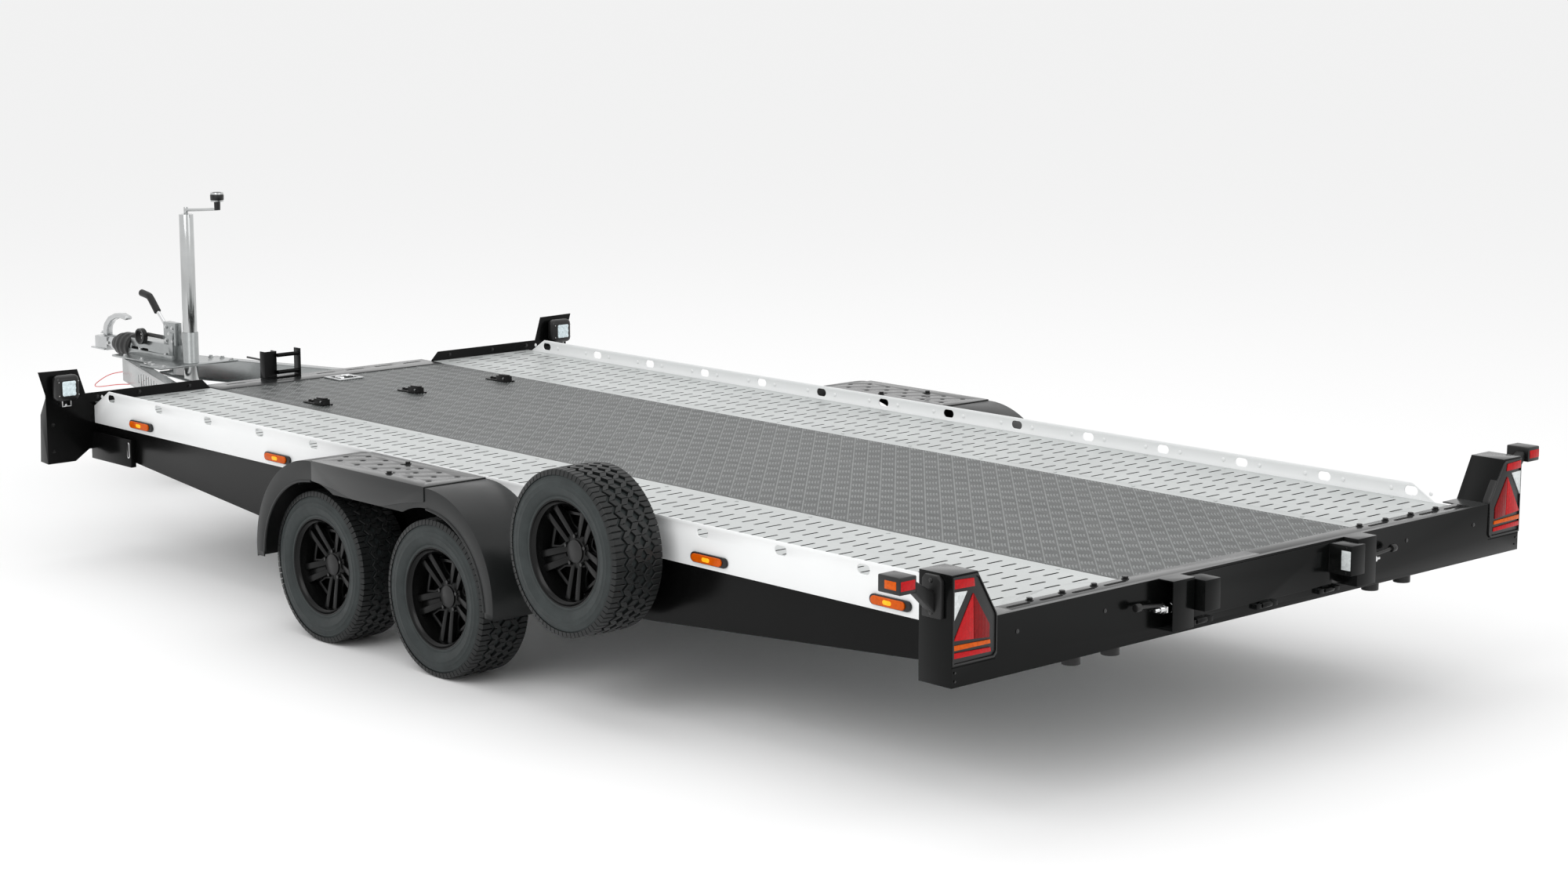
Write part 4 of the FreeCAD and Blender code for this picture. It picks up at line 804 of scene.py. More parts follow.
@dataclass
class Tyre:
    """A van tyre with five zigzag ribs. It is built about its own centre with its axle along Y."""

    radius: float = 0.255
    width: float = 0.19
    groove: float = 0.0105
    pitches: int = 40
    zigzag: float = 0.0072
    rib_middles: tuple[float, ...] = (-0.034, 0.0, 0.034)
    rib_half: float = 0.0112
    shoulder_inner: float = 0.0545
    shoulder_outer: float = 0.0885

    @property
    def pitch(self) -> float:
        """Return the length of one repeat of the tread, laid flat."""
        return FULL_TURN * self.radius / self.pitches

    def carcass(self, shape: Shape) -> None:
        """Add the sidewalls and the tread's ground, whose near-black rubber paints shade into the grooves."""
        half = self.width / 2
        side = [
            (0.1575, half - 0.0155), (0.1605, half - 0.0125), (0.1665, half - 0.0105), (0.1715, half - 0.0115),
            (0.175, half - 0.0075), (0.184, half - 0.0035), (0.198, half - 0.0005), (0.2, half + 0.0),
            (0.2015, half - 0.0008), (0.214, half - 0.0004), (0.2155, half - 0.0016), (0.228, half - 0.004),
            (0.2295, half - 0.003), (0.237, half - 0.0075), (0.2425, half - 0.0105), (0.2455, half - 0.0165),
        ]
        ring = [*side, *[(radius, -along) for radius, along in reversed(side)]]
        shape.turned([*ring, (0.152, 0.0)], (0.0, 0.0, 0.0), Axis.Y, SIDEWALL, 96)
        base = self.radius - self.groove
        ground = [(0.24, -0.086), (base, -0.076), (base, 0.076), (0.24, 0.086)]
        # The tread's ground is darker than the tread: painted shade.
        shape.turned(ground, (0.0, 0.0, 0.0), Axis.Y, GROOVE_SHADE, 112)

    def wrapped(self, part: bmesh.types.BMesh) -> None:
        """Bend a flat tread, laid along X with its top at Z zero, round the tyre."""
        for vert in part.verts:
            angle = vert.co.x / self.radius
            reach = self.radius + vert.co.z - 0.0022 * (abs(vert.co.y) / 0.08) ** 2
            vert.co = Vector((math.cos(angle) * reach, vert.co.y, math.sin(angle) * reach))

    def repeated(self, part: bmesh.types.BMesh) -> None:
        """Lay copies of one repeat end to end for the whole turn."""
        first = [*part.verts, *part.edges, *part.faces]
        for count in range(1, self.pitches):
            copy = bmesh.ops.duplicate(part, geom=first)
            moved = [item for item in copy["geom"] if isinstance(item, bmesh.types.BMVert)]
            bmesh.ops.translate(part, vec=(self.pitch * count, 0.0, 0.0), verts=moved)

    def tread_block(self, outline: Sequence[Flat], drop: float, spread: float = 0.0) -> bmesh.types.BMesh:
        """Return one block of tread, pushed down from its outline.

        Args:
            outline: (along the tread, across it) of each corner.
            drop: how deep it goes.
            spread: how much wider its outer foot is than its top.

        Returns:
            The block's mesh.
        """
        part = bmesh.new()
        part.faces.new([part.verts.new((along, across, 0.0)) for along, across in outline])
        pushed = bmesh.ops.extrude_face_region(part, geom=part.faces[:], use_keep_orig=True)
        foot = [item for item in pushed["geom"] if isinstance(item, bmesh.types.BMVert)]
        bmesh.ops.translate(part, vec=(0.0, 0.0, -drop), verts=foot)
        for vert in foot:
            if abs(vert.co.y) > self.shoulder_outer - 0.004:
                vert.co.y += math.copysign(spread, vert.co.y)
        bmesh.ops.recalc_face_normals(part, faces=part.faces)
        top = [edge for edge in part.edges if all(vert.co.z > -1e-6 for vert in edge.verts)]
        round_edges(part, top, 0.0015, 1)
        return part

    def ribs(self, shape: Shape) -> None:
        """Add the three middle ribs, each a chain of S-shaped blocks."""
        sipe = 0.0022
        for number, middle in enumerate(self.rib_middles):
            bend = self.zigzag if number != 1 else -self.zigzag
            half = self.rib_half
            outline = [
                (0.0, middle - half + bend), (self.pitch / 2, middle - half - bend),
                (self.pitch - sipe, middle - half + bend), (self.pitch - sipe, middle + half * 0.35),
                (self.pitch, middle + half * 0.35), (self.pitch, middle + half + bend),
                (self.pitch / 2 + sipe, middle + half - bend), (self.pitch / 2 + sipe, middle - half * 0.2),
                (self.pitch / 2, middle - half * 0.2), (self.pitch / 2, middle + half - bend),
                (0.0, middle + half + bend),
            ]
            part = self.tread_block(outline, self.groove + 0.001)
            self.repeated(part)
            self.wrapped(part)
            shape.take(part, TREAD)

    def shoulders(self, shape: Shape) -> None:
        """Add the lugs along both shoulders, two to a repeat."""
        sipe = 0.0026
        for side in Side:
            sign = side.value
            inner, outer, bend = self.shoulder_inner * sign, self.shoulder_outer * sign, self.zigzag * sign
            for start, first, last in ((0.0, bend, -bend), (self.pitch / 2, -bend, bend)):
                end = start + self.pitch / 2 - sipe
                outline = [(start, inner + first), (end, inner + last), (end, outer), (start, outer)]
                part = self.tread_block(outline, self.groove + 0.006, 0.0035)
                self.repeated(part)
                self.wrapped(part)
                shape.take(part, TREAD)

    def build(self) -> Shape:
        """Return the whole tyre about its own centre."""
        shape = Shape()
        self.carcass(shape)
        self.ribs(shape)
        self.shoulders(shape)
        return shape


@dataclass
class Rim:
    """A black cast rim with five double spokes and five webs with a window each."""

    groups: int = 5
    lip: float = 0.165
    well: float = 0.148
    half_width: float = 0.0815
    cap_reach: float = 0.041
    cap_radius: float = 0.036

    def barrel(self, shape: Shape) -> None:
        """Add the lips and the barrel between them."""
        edge = self.half_width
        profile = [
            (self.lip, edge - 0.0005), (self.lip - 0.003, edge + 0.0025), (self.lip - 0.0065, edge + 0.001),
            (self.lip - 0.009, edge - 0.006), (self.well, edge - 0.012), (self.well - 0.004, edge - 0.03),
            (self.well - 0.012, 0.03), (self.well - 0.012, -edge + 0.02), (self.lip - 0.008, -edge + 0.002),
            (self.lip, -edge), (self.lip, -edge + 0.004), (0.1578, -edge + 0.006), (0.1578, edge - 0.006),
            (self.lip, edge - 0.004),
        ]
        shape.turned(profile, (0.0, 0.0, 0.0), Axis.Y, RIM_BLACK, 80)
        drum = [(0.022, -0.06), (0.022, 0.006), (0.118, 0.006), (0.12, -0.06)]
        shape.turned(drum, (0.0, 0.0, 0.0), Axis.Y, DARK_BLACK_AND_SLOT_SHADE, 48)

    def spun(self, outline: Sequence[Flat], level: float, depth: float, angle: float,
             holes: Sequence[Sequence[Flat]], shape: Shape, bevel: float, dish: float) -> None:
        """Add a flat spoke piece, turned to its place and dished towards the hub.

        Args:
            outline: (radial, sideways) of each corner.
            level: the piece's front, along the axle.
            depth: its thickness.
            angle: where it stands round the wheel.
            holes: outlines of its windows.
            shape: the wheel's shape.
            bevel: the radius of its edges.
            dish: how much further out its outer end stands, for each metre of radius.
        """
        turn = Matrix.Rotation(angle, 3, "Y")

        def placed(loop: Sequence[Flat]) -> list[Point]:
            """Return a loop's corners round the wheel."""
            return [tuple(turn @ Vector((radial, level + dish * radial, sideways))) for radial, sideways in loop]

        shape.prism(placed(outline), (0.0, -depth, 0.0), RIM_BLACK, bevel, [placed(hole) for hole in holes])

    def spokes(self, shape: Shape) -> None:
        """Add the double spokes, the webs between them and the face of the hub."""
        outer = self.well - 0.004
        for number in range(self.groups):
            angle = FULL_TURN * number / self.groups + 0.35
            for side in (-1.0, 1.0):
                bar = [
                    (0.034, side * 0.006), (outer, side * 0.011), (outer, side * 0.034), (0.034, side * 0.024),
                ]
                self.spun(bar, 0.027, 0.017, angle, [], shape, 0.0025, 0.2)
            floor = [(0.04, -0.01), (outer, -0.014), (outer, 0.014), (0.04, 0.01)]
            self.spun(floor, 0.012, 0.006, angle, [], shape, 0.001, 0.2)
            middle = angle + math.pi / self.groups
            web = [
                (0.034, -0.014), (0.07, -0.034), (0.118, -0.052), (0.118, 0.052), (0.07, 0.034), (0.034, 0.014),
            ]
            window = [(0.066, 0.0), (0.082, -0.018), (0.108, -0.029), (0.108, 0.029), (0.082, 0.018)]
            self.spun(web, 0.014, 0.01, middle, [window], shape, 0.0018, 0.16)
        hub = [
            (0.0, 0.0), (0.0, self.cap_reach - 0.004), (0.05, self.cap_reach - 0.006), (0.056, 0.03), (0.056, 0.0),
        ]
        shape.turned(hub, (0.0, 0.0, 0.0), Axis.Y, RIM_BLACK, 48)
        cap = [
            (0.0, self.cap_reach - 0.005), (0.0, self.cap_reach + 0.004),
            (self.cap_radius - 0.006, self.cap_reach + 0.004), (self.cap_radius, self.cap_reach),
            (self.cap_radius, self.cap_reach - 0.005),
        ]
        shape.turned(cap, (0.0, 0.0, 0.0), Axis.Y, HARD_BLACK, 48)
        for number in range(self.groups):
            angle = FULL_TURN * (number + 0.5) / self.groups + 0.35
            at = Vector((math.cos(angle) * 0.046, self.cap_reach - 0.006, -math.sin(angle) * 0.046))
            shape.rod(at, at + Vector((0.0, 0.006, 0.0)), 0.0065, BOLT_BLACK, 6, 0.0008)

    def build(self) -> Shape:
        """Return the whole rim about its own centre."""
        shape = Shape()
        self.barrel(shape)
        self.spokes(shape)
        return shape


@dataclass
class Wheels:
    """The four road wheels and the spare. All five are alike."""

    tyre: Tyre = field(default_factory=Tyre)
    rim: Rim = field(default_factory=Rim)

    def place(self, shape: Shape, node: str, name: str, side: Side) -> None:
        """Move a wheel's part to where its node is.

        Args:
            shape: the part, about its own centre.
            node: the node that it stands for.
            name: the piece's name.
            side: the side that its face looks to.
        """
        low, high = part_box(node.replace("rim", "tyre"))
        if side is Side.RIGHT:
            shape.mirrored()
        shape.moved((low + high) / 2)
        shape.made(name, NODE_BODY[node], NODE_SLOT[node], [node], 38.0)

    def build(self) -> None:
        """Build the five wheels."""
        for end in ("front", "rear"):
            for side in Side:
                self.place(self.tyre.build(), f"tyre_{end}_{side.label}", f"road_tyre_{end}_{side.label}", side)
                self.place(self.rim.build(), f"rim_{end}_{side.label}", f"road_rim_{end}_{side.label}", side)
        for kind, builder in (("tyre", self.tyre), ("rim", self.rim)):
            self.place(builder.build(), f"spare_{kind}", f"stowed_{kind}", Side.LEFT)


@dataclass
class TreadPlate:
    """The centre plate's raised pattern: ridges at 45 degrees, and between them cells of short arcs."""

    pitch: float = 0.0475
    cell: float = 0.0958
    arcs: int = 4
    arc_gap: float = 0.0097
    arc_length: float = 0.056
    arc_width: float = 0.0056
    ridge_width: float = 0.0042
    height: float = 0.0013
    margin: float = 0.004

    def bar(self, part: bmesh.types.BMesh, middle: Vector, along: Vector, across: Vector, bend: float) -> None:
        """Add one raised bar with a ridge.

        Args:
            part: the mesh that it joins.
            middle: the middle of its foot.
            along: half its length, as a vector.
            across: half its width, as a vector.
            bend: how far its ends bend sideways, in half widths.
        """
        rise = Vector((0.0, 0.0, self.height))
        ends = across * bend
        foot = [middle - along + ends, middle + across - along * 0.5, middle + across + along * 0.5,
                middle + along + ends, middle - across + along * 0.5, middle - across - along * 0.5]
        ridge = [middle - along * 0.6 + rise, middle + along * 0.6 + rise]
        low = [part.verts.new(corner) for corner in foot]
        high = [part.verts.new(corner) for corner in ridge]
        for loop in (
            (low[0], high[0], low[1]), (low[1], high[0], high[1], low[2]), (low[2], high[1], low[3]),
            (low[3], high[1], low[4]), (low[4], high[1], high[0], low[5]), (low[5], high[0], low[0]),
        ):
            part.faces.new(loop)

    def column(self, part: bmesh.types.BMesh, foot: Vector, first: Vector, second: Vector, shift: float) -> None:
        """Add one ridge and the cells beside it.

        Args:
            part: the mesh that they join.
            foot: the middle of the ridge.
            first: the direction from ridge to ridge.
            second: the ridge's direction.
            shift: how far the cells are shifted along it.
        """
        low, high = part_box("centre_plate")
        self.bar(part, foot, second * 3.2, first * self.ridge_width / 2, 0.0)
        count = int(3.4 / self.cell)
        for number in range(-count, count + 1):
            middle = foot + first * self.pitch * 0.54 + second * (number * self.cell + shift)
            if not low.x - 0.04 < middle.x < high.x + 0.04 or not low.y - 0.04 < middle.y < high.y + 0.04:
                continue
            for arc in range(self.arcs):
                offset = first * ((arc - (self.arcs - 1) / 2) * self.arc_gap)
                self.bar(part, middle + offset, second * self.arc_length / 2, first * self.arc_width / 2, -1.1)

    def build(self) -> None:
        """Cover the centre plate with columns and trim them at its edges."""
        low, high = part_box("centre_plate")
        slope = math.sqrt(0.5)
        first, second = Vector((slope, slope, 0.0)), Vector((-slope, slope, 0.0))
        part = bmesh.new()
        centre = Vector(((low.x + high.x) / 2, 0.0, high.z))
        reach = int((high.x - low.x + high.y - low.y) * slope / self.pitch / 2) + 2
        for row in range(-reach, reach + 1):
            self.column(part, centre + first * (row * self.pitch), first, second, (row % 2) * self.cell / 2)
        for corner, away in ((low, (-1, 0, 0)), (low, (0, -1, 0)), (high, (1, 0, 0)), (high, (0, 1, 0))):
            edge = Vector(corner) - Vector(away) * self.margin
            bmesh.ops.bisect_plane(
                part, geom=[*part.verts, *part.edges, *part.faces], plane_co=edge, plane_no=away,
                clear_outer=True, clear_inner=False,
            )
        shape = Shape()
        shape.take(part, TREAD_BAR, recalculate=False)
        shape.made("deck_tread_bars", CHASSIS, NODE_SLOT["centre_plate"], (), 25.0)


@dataclass
class TailLamps:
    """The two rear lamp clusters: a bezel with red, clear and amber lenses."""

    depth: float = 0.026
    face: float = -0.0015
    lens_rise: float = 0.003
    outer: float = 1.2705

    def outline(self) -> list[Flat]:
        """Return the bezel's corners as (across, up)."""
        return [
            (1.2735, 0.4665), (1.2735, 0.7), (1.187, 0.7), (1.178, 0.694), (1.112, 0.585), (1.1095, 0.575),
            (1.1095, 0.477), (1.12, 0.4665),
        ]

    def lenses(self) -> list[tuple[Finish, list[Flat]]]:
        """Return each lens's finish and corners as (across, up), from the top down."""
        return [
            (RED_LENS, [(self.outer, 0.669), (self.outer, 0.694), (1.198, 0.69), (1.194, 0.667)]),
            (CLEAR_LENS, [(self.outer, 0.585), (self.outer, 0.661), (1.222, 0.659)]),
            (RED_LENS, [(self.outer, 0.533), (1.2, 0.65), (1.197, 0.528)]),
            (DARK_RED_LENS, [(1.196, 0.528), (1.199, 0.65), (1.138, 0.558), (1.138, 0.523)]),
            (AMBER_LENS, [(self.outer, 0.507), (self.outer, 0.521), (1.136, 0.517), (1.134, 0.506)]),
            (RED_LENS, [(self.outer, 0.486), (self.outer, 0.501), (1.134, 0.496), (1.132, 0.484)]),
        ]

    def side(self, shape: Shape) -> None:
        """Add the left lamp."""
        front = station(self.face)
        bezel = [(front, across, up) for across, up in self.outline()]
        shape.prism(bezel, (self.depth, 0.0, 0.0), HARD_BLACK, 0.002)
        middle = Vector((front, 1.195, 0.583))
        inner = [tuple(middle + (Vector(corner) - middle) * 0.95) for corner in bezel]
        shape.prism(bezel, (-0.003, 0.0, 0.0), HARD_BLACK, 0.0012, [inner])
        for finish, corners in self.lenses():
            loop = [(front + 0.001, across, up) for across, up in corners]
            shape.prism(loop, (-self.lens_rise - 0.001, 0.0, 0.0), finish, 0.0016)

    def build(self) -> None:
        """Build both lamps as one piece for the node that holds both."""
        shape = on_both_sides(self.side)
        shape.made("tail_lamp_clusters", CHASSIS, NODE_SLOT["tail_lamps"], ["tail_lamps"])


def on_both_sides(build: Callable[[Shape], None]) -> Shape:
    """Return a shape that is built on the left and again, reflected, on the right.

    Args:
        build: adds the left side's parts to a shape.

    Returns:
        One shape with both sides.
    """
    shape = Shape()
    build(shape)
    other = Shape()
    other.finishes = list(shape.finishes)
    build(other)
    other.mirrored()
    holder = bpy.data.meshes.new("other_side")
    other.mesh.to_mesh(holder)
    other.mesh.free()
    shape.mesh.from_mesh(holder)
    bpy.data.meshes.remove(holder)
    return shape


@dataclass
class OutlineMarkers:
    """The rubber arms at the rear corners, each with an amber and red lamp."""

    head: tuple[Point, Point] = ((0.034, 1.368, 0.669), (0.116, 1.4285, 0.7155))

    def side(self, shape: Shape) -> None:
        """Add the left arm, its foot and its lamp."""
        half = 1.275
        foot = [
            (station(0.026), half, 0.587), (station(0.026), half, 0.686), (station(0.04), half, 0.7005),
            (station(0.086), half, 0.7005), (station(0.096), half, 0.688), (station(0.096), half, 0.587),
        ]
        shape.prism(foot, (0.0, 0.015, 0.0), SOFT_BLACK, 0.004)
        for up in (0.601, 0.686):
            shape.dome((station(0.062), half + 0.015, up), (0.0, 1.0, 0.0), 0.007, BOLT_BLACK)
        arm = [
            (station(0.046), half + 0.012, 0.598), (station(0.046), half + 0.012, 0.655),
            (station(0.046), half + 0.094, 0.703), (station(0.046), half + 0.094, 0.674),
        ]
        shape.prism(arm, (0.034, 0.0, 0.0), SOFT_BLACK, 0.006, segments=3)
        low, high = self.head
        lamp_low = (station(low[0]), low[1], low[2])
        lamp_high = (station(high[0]), high[1], high[2])
        shape.block(lamp_low, lamp_high, HARD_BLACK, 0.004, 3)
        shape.block(
            (station(low[0]) - 0.0015, low[1] + 0.007, low[2] + 0.011),
            (station(low[0]) + 0.004, high[1] - 0.003, high[2] - 0.01), RED_LENS, 0.0012,
        )
        shape.block(
            (station(low[0]) + 0.014, high[1] - 0.003, low[2] + 0.012),
            (station(low[0]) + 0.056, high[1] + 0.0012, high[2] - 0.012), AMBER_LENS, 0.0012,
        )

    def build(self) -> None:
        """Build both arms."""
        shape = on_both_sides(self.side)
        shape.made("corner_outline_lamps", CHASSIS, NODE_SLOT["outline_markers"], ["outline_markers"])


@dataclass
class SideMarkers:
    """Amber lamps with rounded ends along both rails."""

    stations: tuple[float, ...] = (0.46, 1.21, 3.48, 4.39)
    level: float = 0.52
    half_length: float = 0.08
    half_height: float = 0.0155
    face: float = 1.035

    def outline(self, middle: float, half_length: float, half_height: float, out: float) -> list[Point]:
        """Return a lamp part's outline.

        Args:
            middle: its middle along X.
            half_length: half its whole length.
            half_height: its end radius.
            out: the Y that it lies at.

        Returns:
            Its corners in order.
        """
        corners = pill(half_length - half_height, half_height, 8)
        return [(middle + along, out, self.level + up) for along, up in corners]

    def side(self, shape: Shape) -> None:
        """Add the left rail's lamps."""
        for distance in self.stations:
            middle = station(distance)
            base = self.outline(middle, self.half_length, self.half_height, self.face)
            shape.prism(base, (0.0, 0.009, 0.0), HARD_BLACK, 0.002)
            lens = self.outline(middle + 0.004, self.half_length - 0.014, self.half_height - 0.003, self.face + 0.008)
            shape.prism(lens, (0.0, 0.0075, 0.0), AMBER_LENS, 0.003, segments=3)
            core = self.outline(middle + 0.004, 0.017, 0.0065, self.face + 0.0145)
            shape.prism(core, (0.0, 0.0013, 0.0), AMBER_CORE, 0.0005)

    def build(self) -> None:
        """Build both rails' lamps."""
        shape = on_both_sides(self.side)
        shape.made("rail_marker_lamps", CHASSIS, NODE_SLOT["side_marker_lamps"], ["side_marker_lamps"])


@dataclass
class WorkLamps:
    """Square lamps on the wings of the front guards, which light the deck."""

    rear: float = 4.675
    depth: float = 0.05
    low: tuple[float, float] = (1.122, 0.592)
    size: float = 0.098

    def side(self, shape: Shape) -> None:
        """Add the left lamp, its nine lights and its bracket."""
        across, up = self.low
        front = station(self.rear)
        shape.block(
            (front, across, up), (front + self.depth, across + self.size, up + self.size), HARD_BLACK, 0.02, 5,
        )
        rim = 0.018
        shape.block(
            (front - 0.002, across + rim, up + rim),
            (front + 0.018, across + self.size - rim, up + self.size - rim), LED_LENS, 0.009, 4,
        )
        for sign in (-1.0, 1.0):
            for end in (-1.0, 1.0):
                spot = Vector((
                    front + 0.0008, across + self.size / 2 + sign * self.size * 0.41,
                    up + self.size / 2 + end * self.size * 0.26,
                ))
                shape.dome(spot, (-1.0, 0.0, 0.0), 0.0022, CHROME)
        step = (self.size - 2 * rim) / 3
        for row in range(3):
            for column in range(3):
                middle = Vector((front - 0.002, across + rim + step * (column + 0.5), up + rim + step * (row + 0.5)))
                shape.rod(middle, middle - Vector((0.0025, 0.0, 0.0)), step * 0.36, LED_LENS, 20, 0.0, step * 0.24)
        for fin in range(6):
            start = across + 0.014 + fin * 0.0135
            shape.block(
                (front + self.depth - 0.002, start, up + 0.012),
                (front + self.depth + 0.009, start + 0.004, up + self.size - 0.012), HARD_BLACK, 0.0008, 1,
            )
        middle = across + self.size / 2
        shape.block(
            (front + 0.02, middle - 0.016, up - 0.022), (front + 0.066, middle + 0.016, up - 0.0185), CHROME, 0.001,
        )
        for sign in (-1.0, 1.0):
            shape.block(
                (front + 0.022, middle + sign * 0.019, up - 0.022), (front + 0.044, middle + sign * 0.0155, up + 0.006),
                CHROME, 0.001,
            )
        shape.bolt((front + 0.034, middle, up - 0.0185), (0.0, 0.0, 1.0), 0.006, CHROME)

    def build(self) -> None:
        """Build both lamps."""
        shape = on_both_sides(self.side)
        shape.made("guard_work_lamps", CHASSIS, NODE_SLOT["work_lamps"], ["work_lamps"])


@dataclass
class FenderTrim:
    """The rolled lips and the ribs of the plastic fender ends."""

    middle: float = 2.6
    pitch: float = 0.64
    arch: float = 0.291
    outer: float = 1.275

    def side(self, shape: Shape) -> None:
        """Add the left fender's lips and ribs."""
        low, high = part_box("fender_left")
        for sign in (-1.0, 1.0):
            centre_x = station(self.middle + sign * self.pitch / 2)
            start, end = math.radians(2.0), math.radians(90.0)
            line = []
            for step in range(9):
                angle = start + (end - start) * step / 8
                line.append((
                    centre_x + sign * math.cos(angle) * self.arch, self.outer - 0.001,
                    0.255 + math.sin(angle) * self.arch,
                ))
            shape.tube(line, 0.0045, FENDER_BLACK, 3)
            for reach in (0.345, 0.41):
                up = math.sqrt(max(0.0, 1.0 - (reach / 0.68) ** 2)) * (high.z - low.z) * 1.03 + low.z - 0.025
                at = station(self.middle + sign * (reach + 0.02))
                shape.tube(
                    [(at, 1.06, up), (at, 1.15, up + 0.001), (at, 1.25, up)], 0.005, FENDER_BLACK, 3,
                )

    def build(self) -> None:
        """Build both sides' trim."""
        shape = on_both_sides(self.side)
        shape.made("fender_lips", CHASSIS, NODE_SLOT["fender_left"])


@dataclass
class Fasteners:
    """Bolts and rivets of the deck, rails, rear beam and guards."""

    hole_pitch: float = 0.3365
    hole_start: float = 0.235
    holes: int = 14

    def rails(self, shape: Shape) -> None:
        """Add the rivets beside each lashing hole, inside the left rail."""
        low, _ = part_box("side_rail_left")
        for number in range(self.holes):
            middle = station(self.hole_start + number * self.hole_pitch)
            for offset in (-0.075, 0.075):
                shape.dome((middle + offset, low.y, 0.5935), (0.0, -1.0, 0.0), 0.0075, RAIL_WHITE)

    def deck(self, shape: Shape) -> None:
        """Add the bolts along both edges of the left track."""
        _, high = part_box("wheel_track_left")
        for across in (0.552, 1.008):
            for number in range(13):
                at = (station(0.29 + number * 0.3365), across, high.z)
                shape.dome(at, (0.0, 0.0, 1.0), 0.007, TRACK_ZINC)

    def rear(self, shape: Shape) -> None:
        """Add the rear flange's strip, lighter grey as a painted highlight, with its slots as dark inlays of painted
        shade, the bolts between them and the rear face's screws.
        """
        top, edge, back = 0.5752, 0.074, 0.016
        # The strip on the rear flange is a lighter grey than the beam: a painted highlight on its top.
        shape.block((station(back), 0.0, top - 0.0066), (station(edge), 1.034, top), PLATE_AND_TOP_HIGHLIGHT_GREY, 0.0008, 2)
        for number in range(4):
            middle = 0.98 - number * 0.1285
            slot = pill(0.037, 0.0068, 6, upright=True)
            outline = [(station(0.043 + along), middle + across, top - 0.001) for along, across in slot]
            # Dark inlays stand in for the slots: painted shade.
            shape.prism(outline, (0.0, 0.0, 0.0014), DARK_BLACK_AND_SLOT_SHADE)
            shape.bolt((station(0.062), middle - 0.064, top), (0.0, 0.0, 1.0), 0.0085, BOLT_BLACK)
        for across in (1.029, 0.683):
            shape.dome((station(0.0), across, 0.52), (-1.0, 0.0, 0.0), 0.007, BOLT_BLACK)

    def guards(self, shape: Shape) -> None:
        """Add the bolts along the left front guard."""
        low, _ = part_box("front_guard_left")
        for across in (0.62, 0.84, 1.02):
            shape.bolt((low.x, across, 0.588), (-1.0, 0.0, 0.0), 0.006, BOLT_BLACK)
        for up in (0.4, 0.5):
            shape.bolt((low.x, 1.21, up), (-1.0, 0.0, 0.0), 0.006, BOLT_BLACK)

    def steps(self, shape: Shape) -> None:
        """Add the two dark bolts of the left step plate."""
        _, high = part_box("step_plates")
        for along, across in ((-0.05, 1.222), (0.05, 1.078)):
            shape.bolt((station(2.6 + along), across, high.z), (0.0, 0.0, 1.0), 0.009, BOLT_BLACK)

    def build(self) -> None:
        """Build every fastener of both sides as one piece."""
        def side(shape: Shape) -> None:
            """Add the left side's fasteners."""
            self.rails(shape)
            self.deck(shape)
            self.rear(shape)
            self.guards(shape)
            self.steps(shape)

        on_both_sides(side).made("fasteners", CHASSIS, NODE_SLOT["rear_beam"])


@dataclass
class FlapLamps:
    """The lenses of the two number plate lamps, on the inner sides of their boxes."""

    inner: float = 0.297
    reach: tuple[float, float] = (-0.0815, -0.0485)
    heights: tuple[float, float] = (0.495, 0.553)

    def side(self, shape: Shape) -> None:
        """Add the left box's lens in its frame and the screws of its lid."""
        start, end = (station(place) for place in self.reach)
        low, high = self.heights
        shape.block(
            (start, self.inner + 0.002, low), (end, self.inner - 0.0012, high), CLEAR_LENS, 0.0015, 2,
        )
        for up in (low - 0.0085, high + 0.0085):
            middle = ((start + end) / 2, self.inner, up)
            shape.dome(middle, (0.0, -1.0, 0.0), 0.003, BOLT_BLACK)

    def build(self) -> None:
        """Build both lenses, which move with the flap."""
        shape = on_both_sides(self.side)
        shape.made("number_plate_lamps", NODE_BODY["ramp_flap"], NODE_SLOT["tail_lamps"])


@dataclass
class RearHardware:
    """The latches' handles and the seams in the rear beam's corners."""

    latch_level: float = 0.496
    latch_back: float = -0.026
    post_outer: float = 0.461

    def latch(self, shape: Shape) -> None:
        """Add the left latch's nut, its bolt's collar and its black handle."""
        back, post, level = station(self.latch_back), self.post_outer, self.latch_level
        shape.rod((back, post - 0.03, level), (back, post + 0.012, level), 0.0165, CHROME, 6, 0.0012)
        shape.rod((back, post - 0.05, level), (back, post + 0.03, level), 0.011, CHROME, 28, 0.001)
        shape.tube(
            [(back, post + 0.02, level + 0.012), (back, post + 0.07, level + 0.016),
             (back, post + 0.115, level + 0.02)],
            0.0055, HARD_BLACK, 3,
        )
        knob = Vector((back, post + 0.118, level + 0.02))
        shape.rod(knob - Vector((0.0, 0.011, 0.0)), knob + Vector((0.0, 0.011, 0.0)), 0.012, HARD_BLACK, 20, 0.004)

    def corner(self, shape: Shape) -> None:
        """Add the left corner's dark seam and the rivets below it."""
        _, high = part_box("rear_beam")
        shape.block(
            (station(-0.0006), 1.112, 0.4605), (station(0.0002), high.y - 0.0004, 0.4625), DARK_BLACK_AND_SLOT_SHADE,
        )
        for up in (0.425, 0.448):
            shape.dome((station(-0.0018), high.y - 0.012, up), (-1.0, 0.0, 0.0), 0.0035, BOLT_BLACK)

    def build(self) -> None:
        """Build both sides' latches and corner seams."""
        shape = on_both_sides(self.latch)
        shape.made("latch_handles", NODE_BODY["latch_bolts"], NODE_SLOT["latch_bolts"])
        shape = on_both_sides(self.corner)
        shape.made("corner_seams", CHASSIS, NODE_SLOT["rear_beam"])


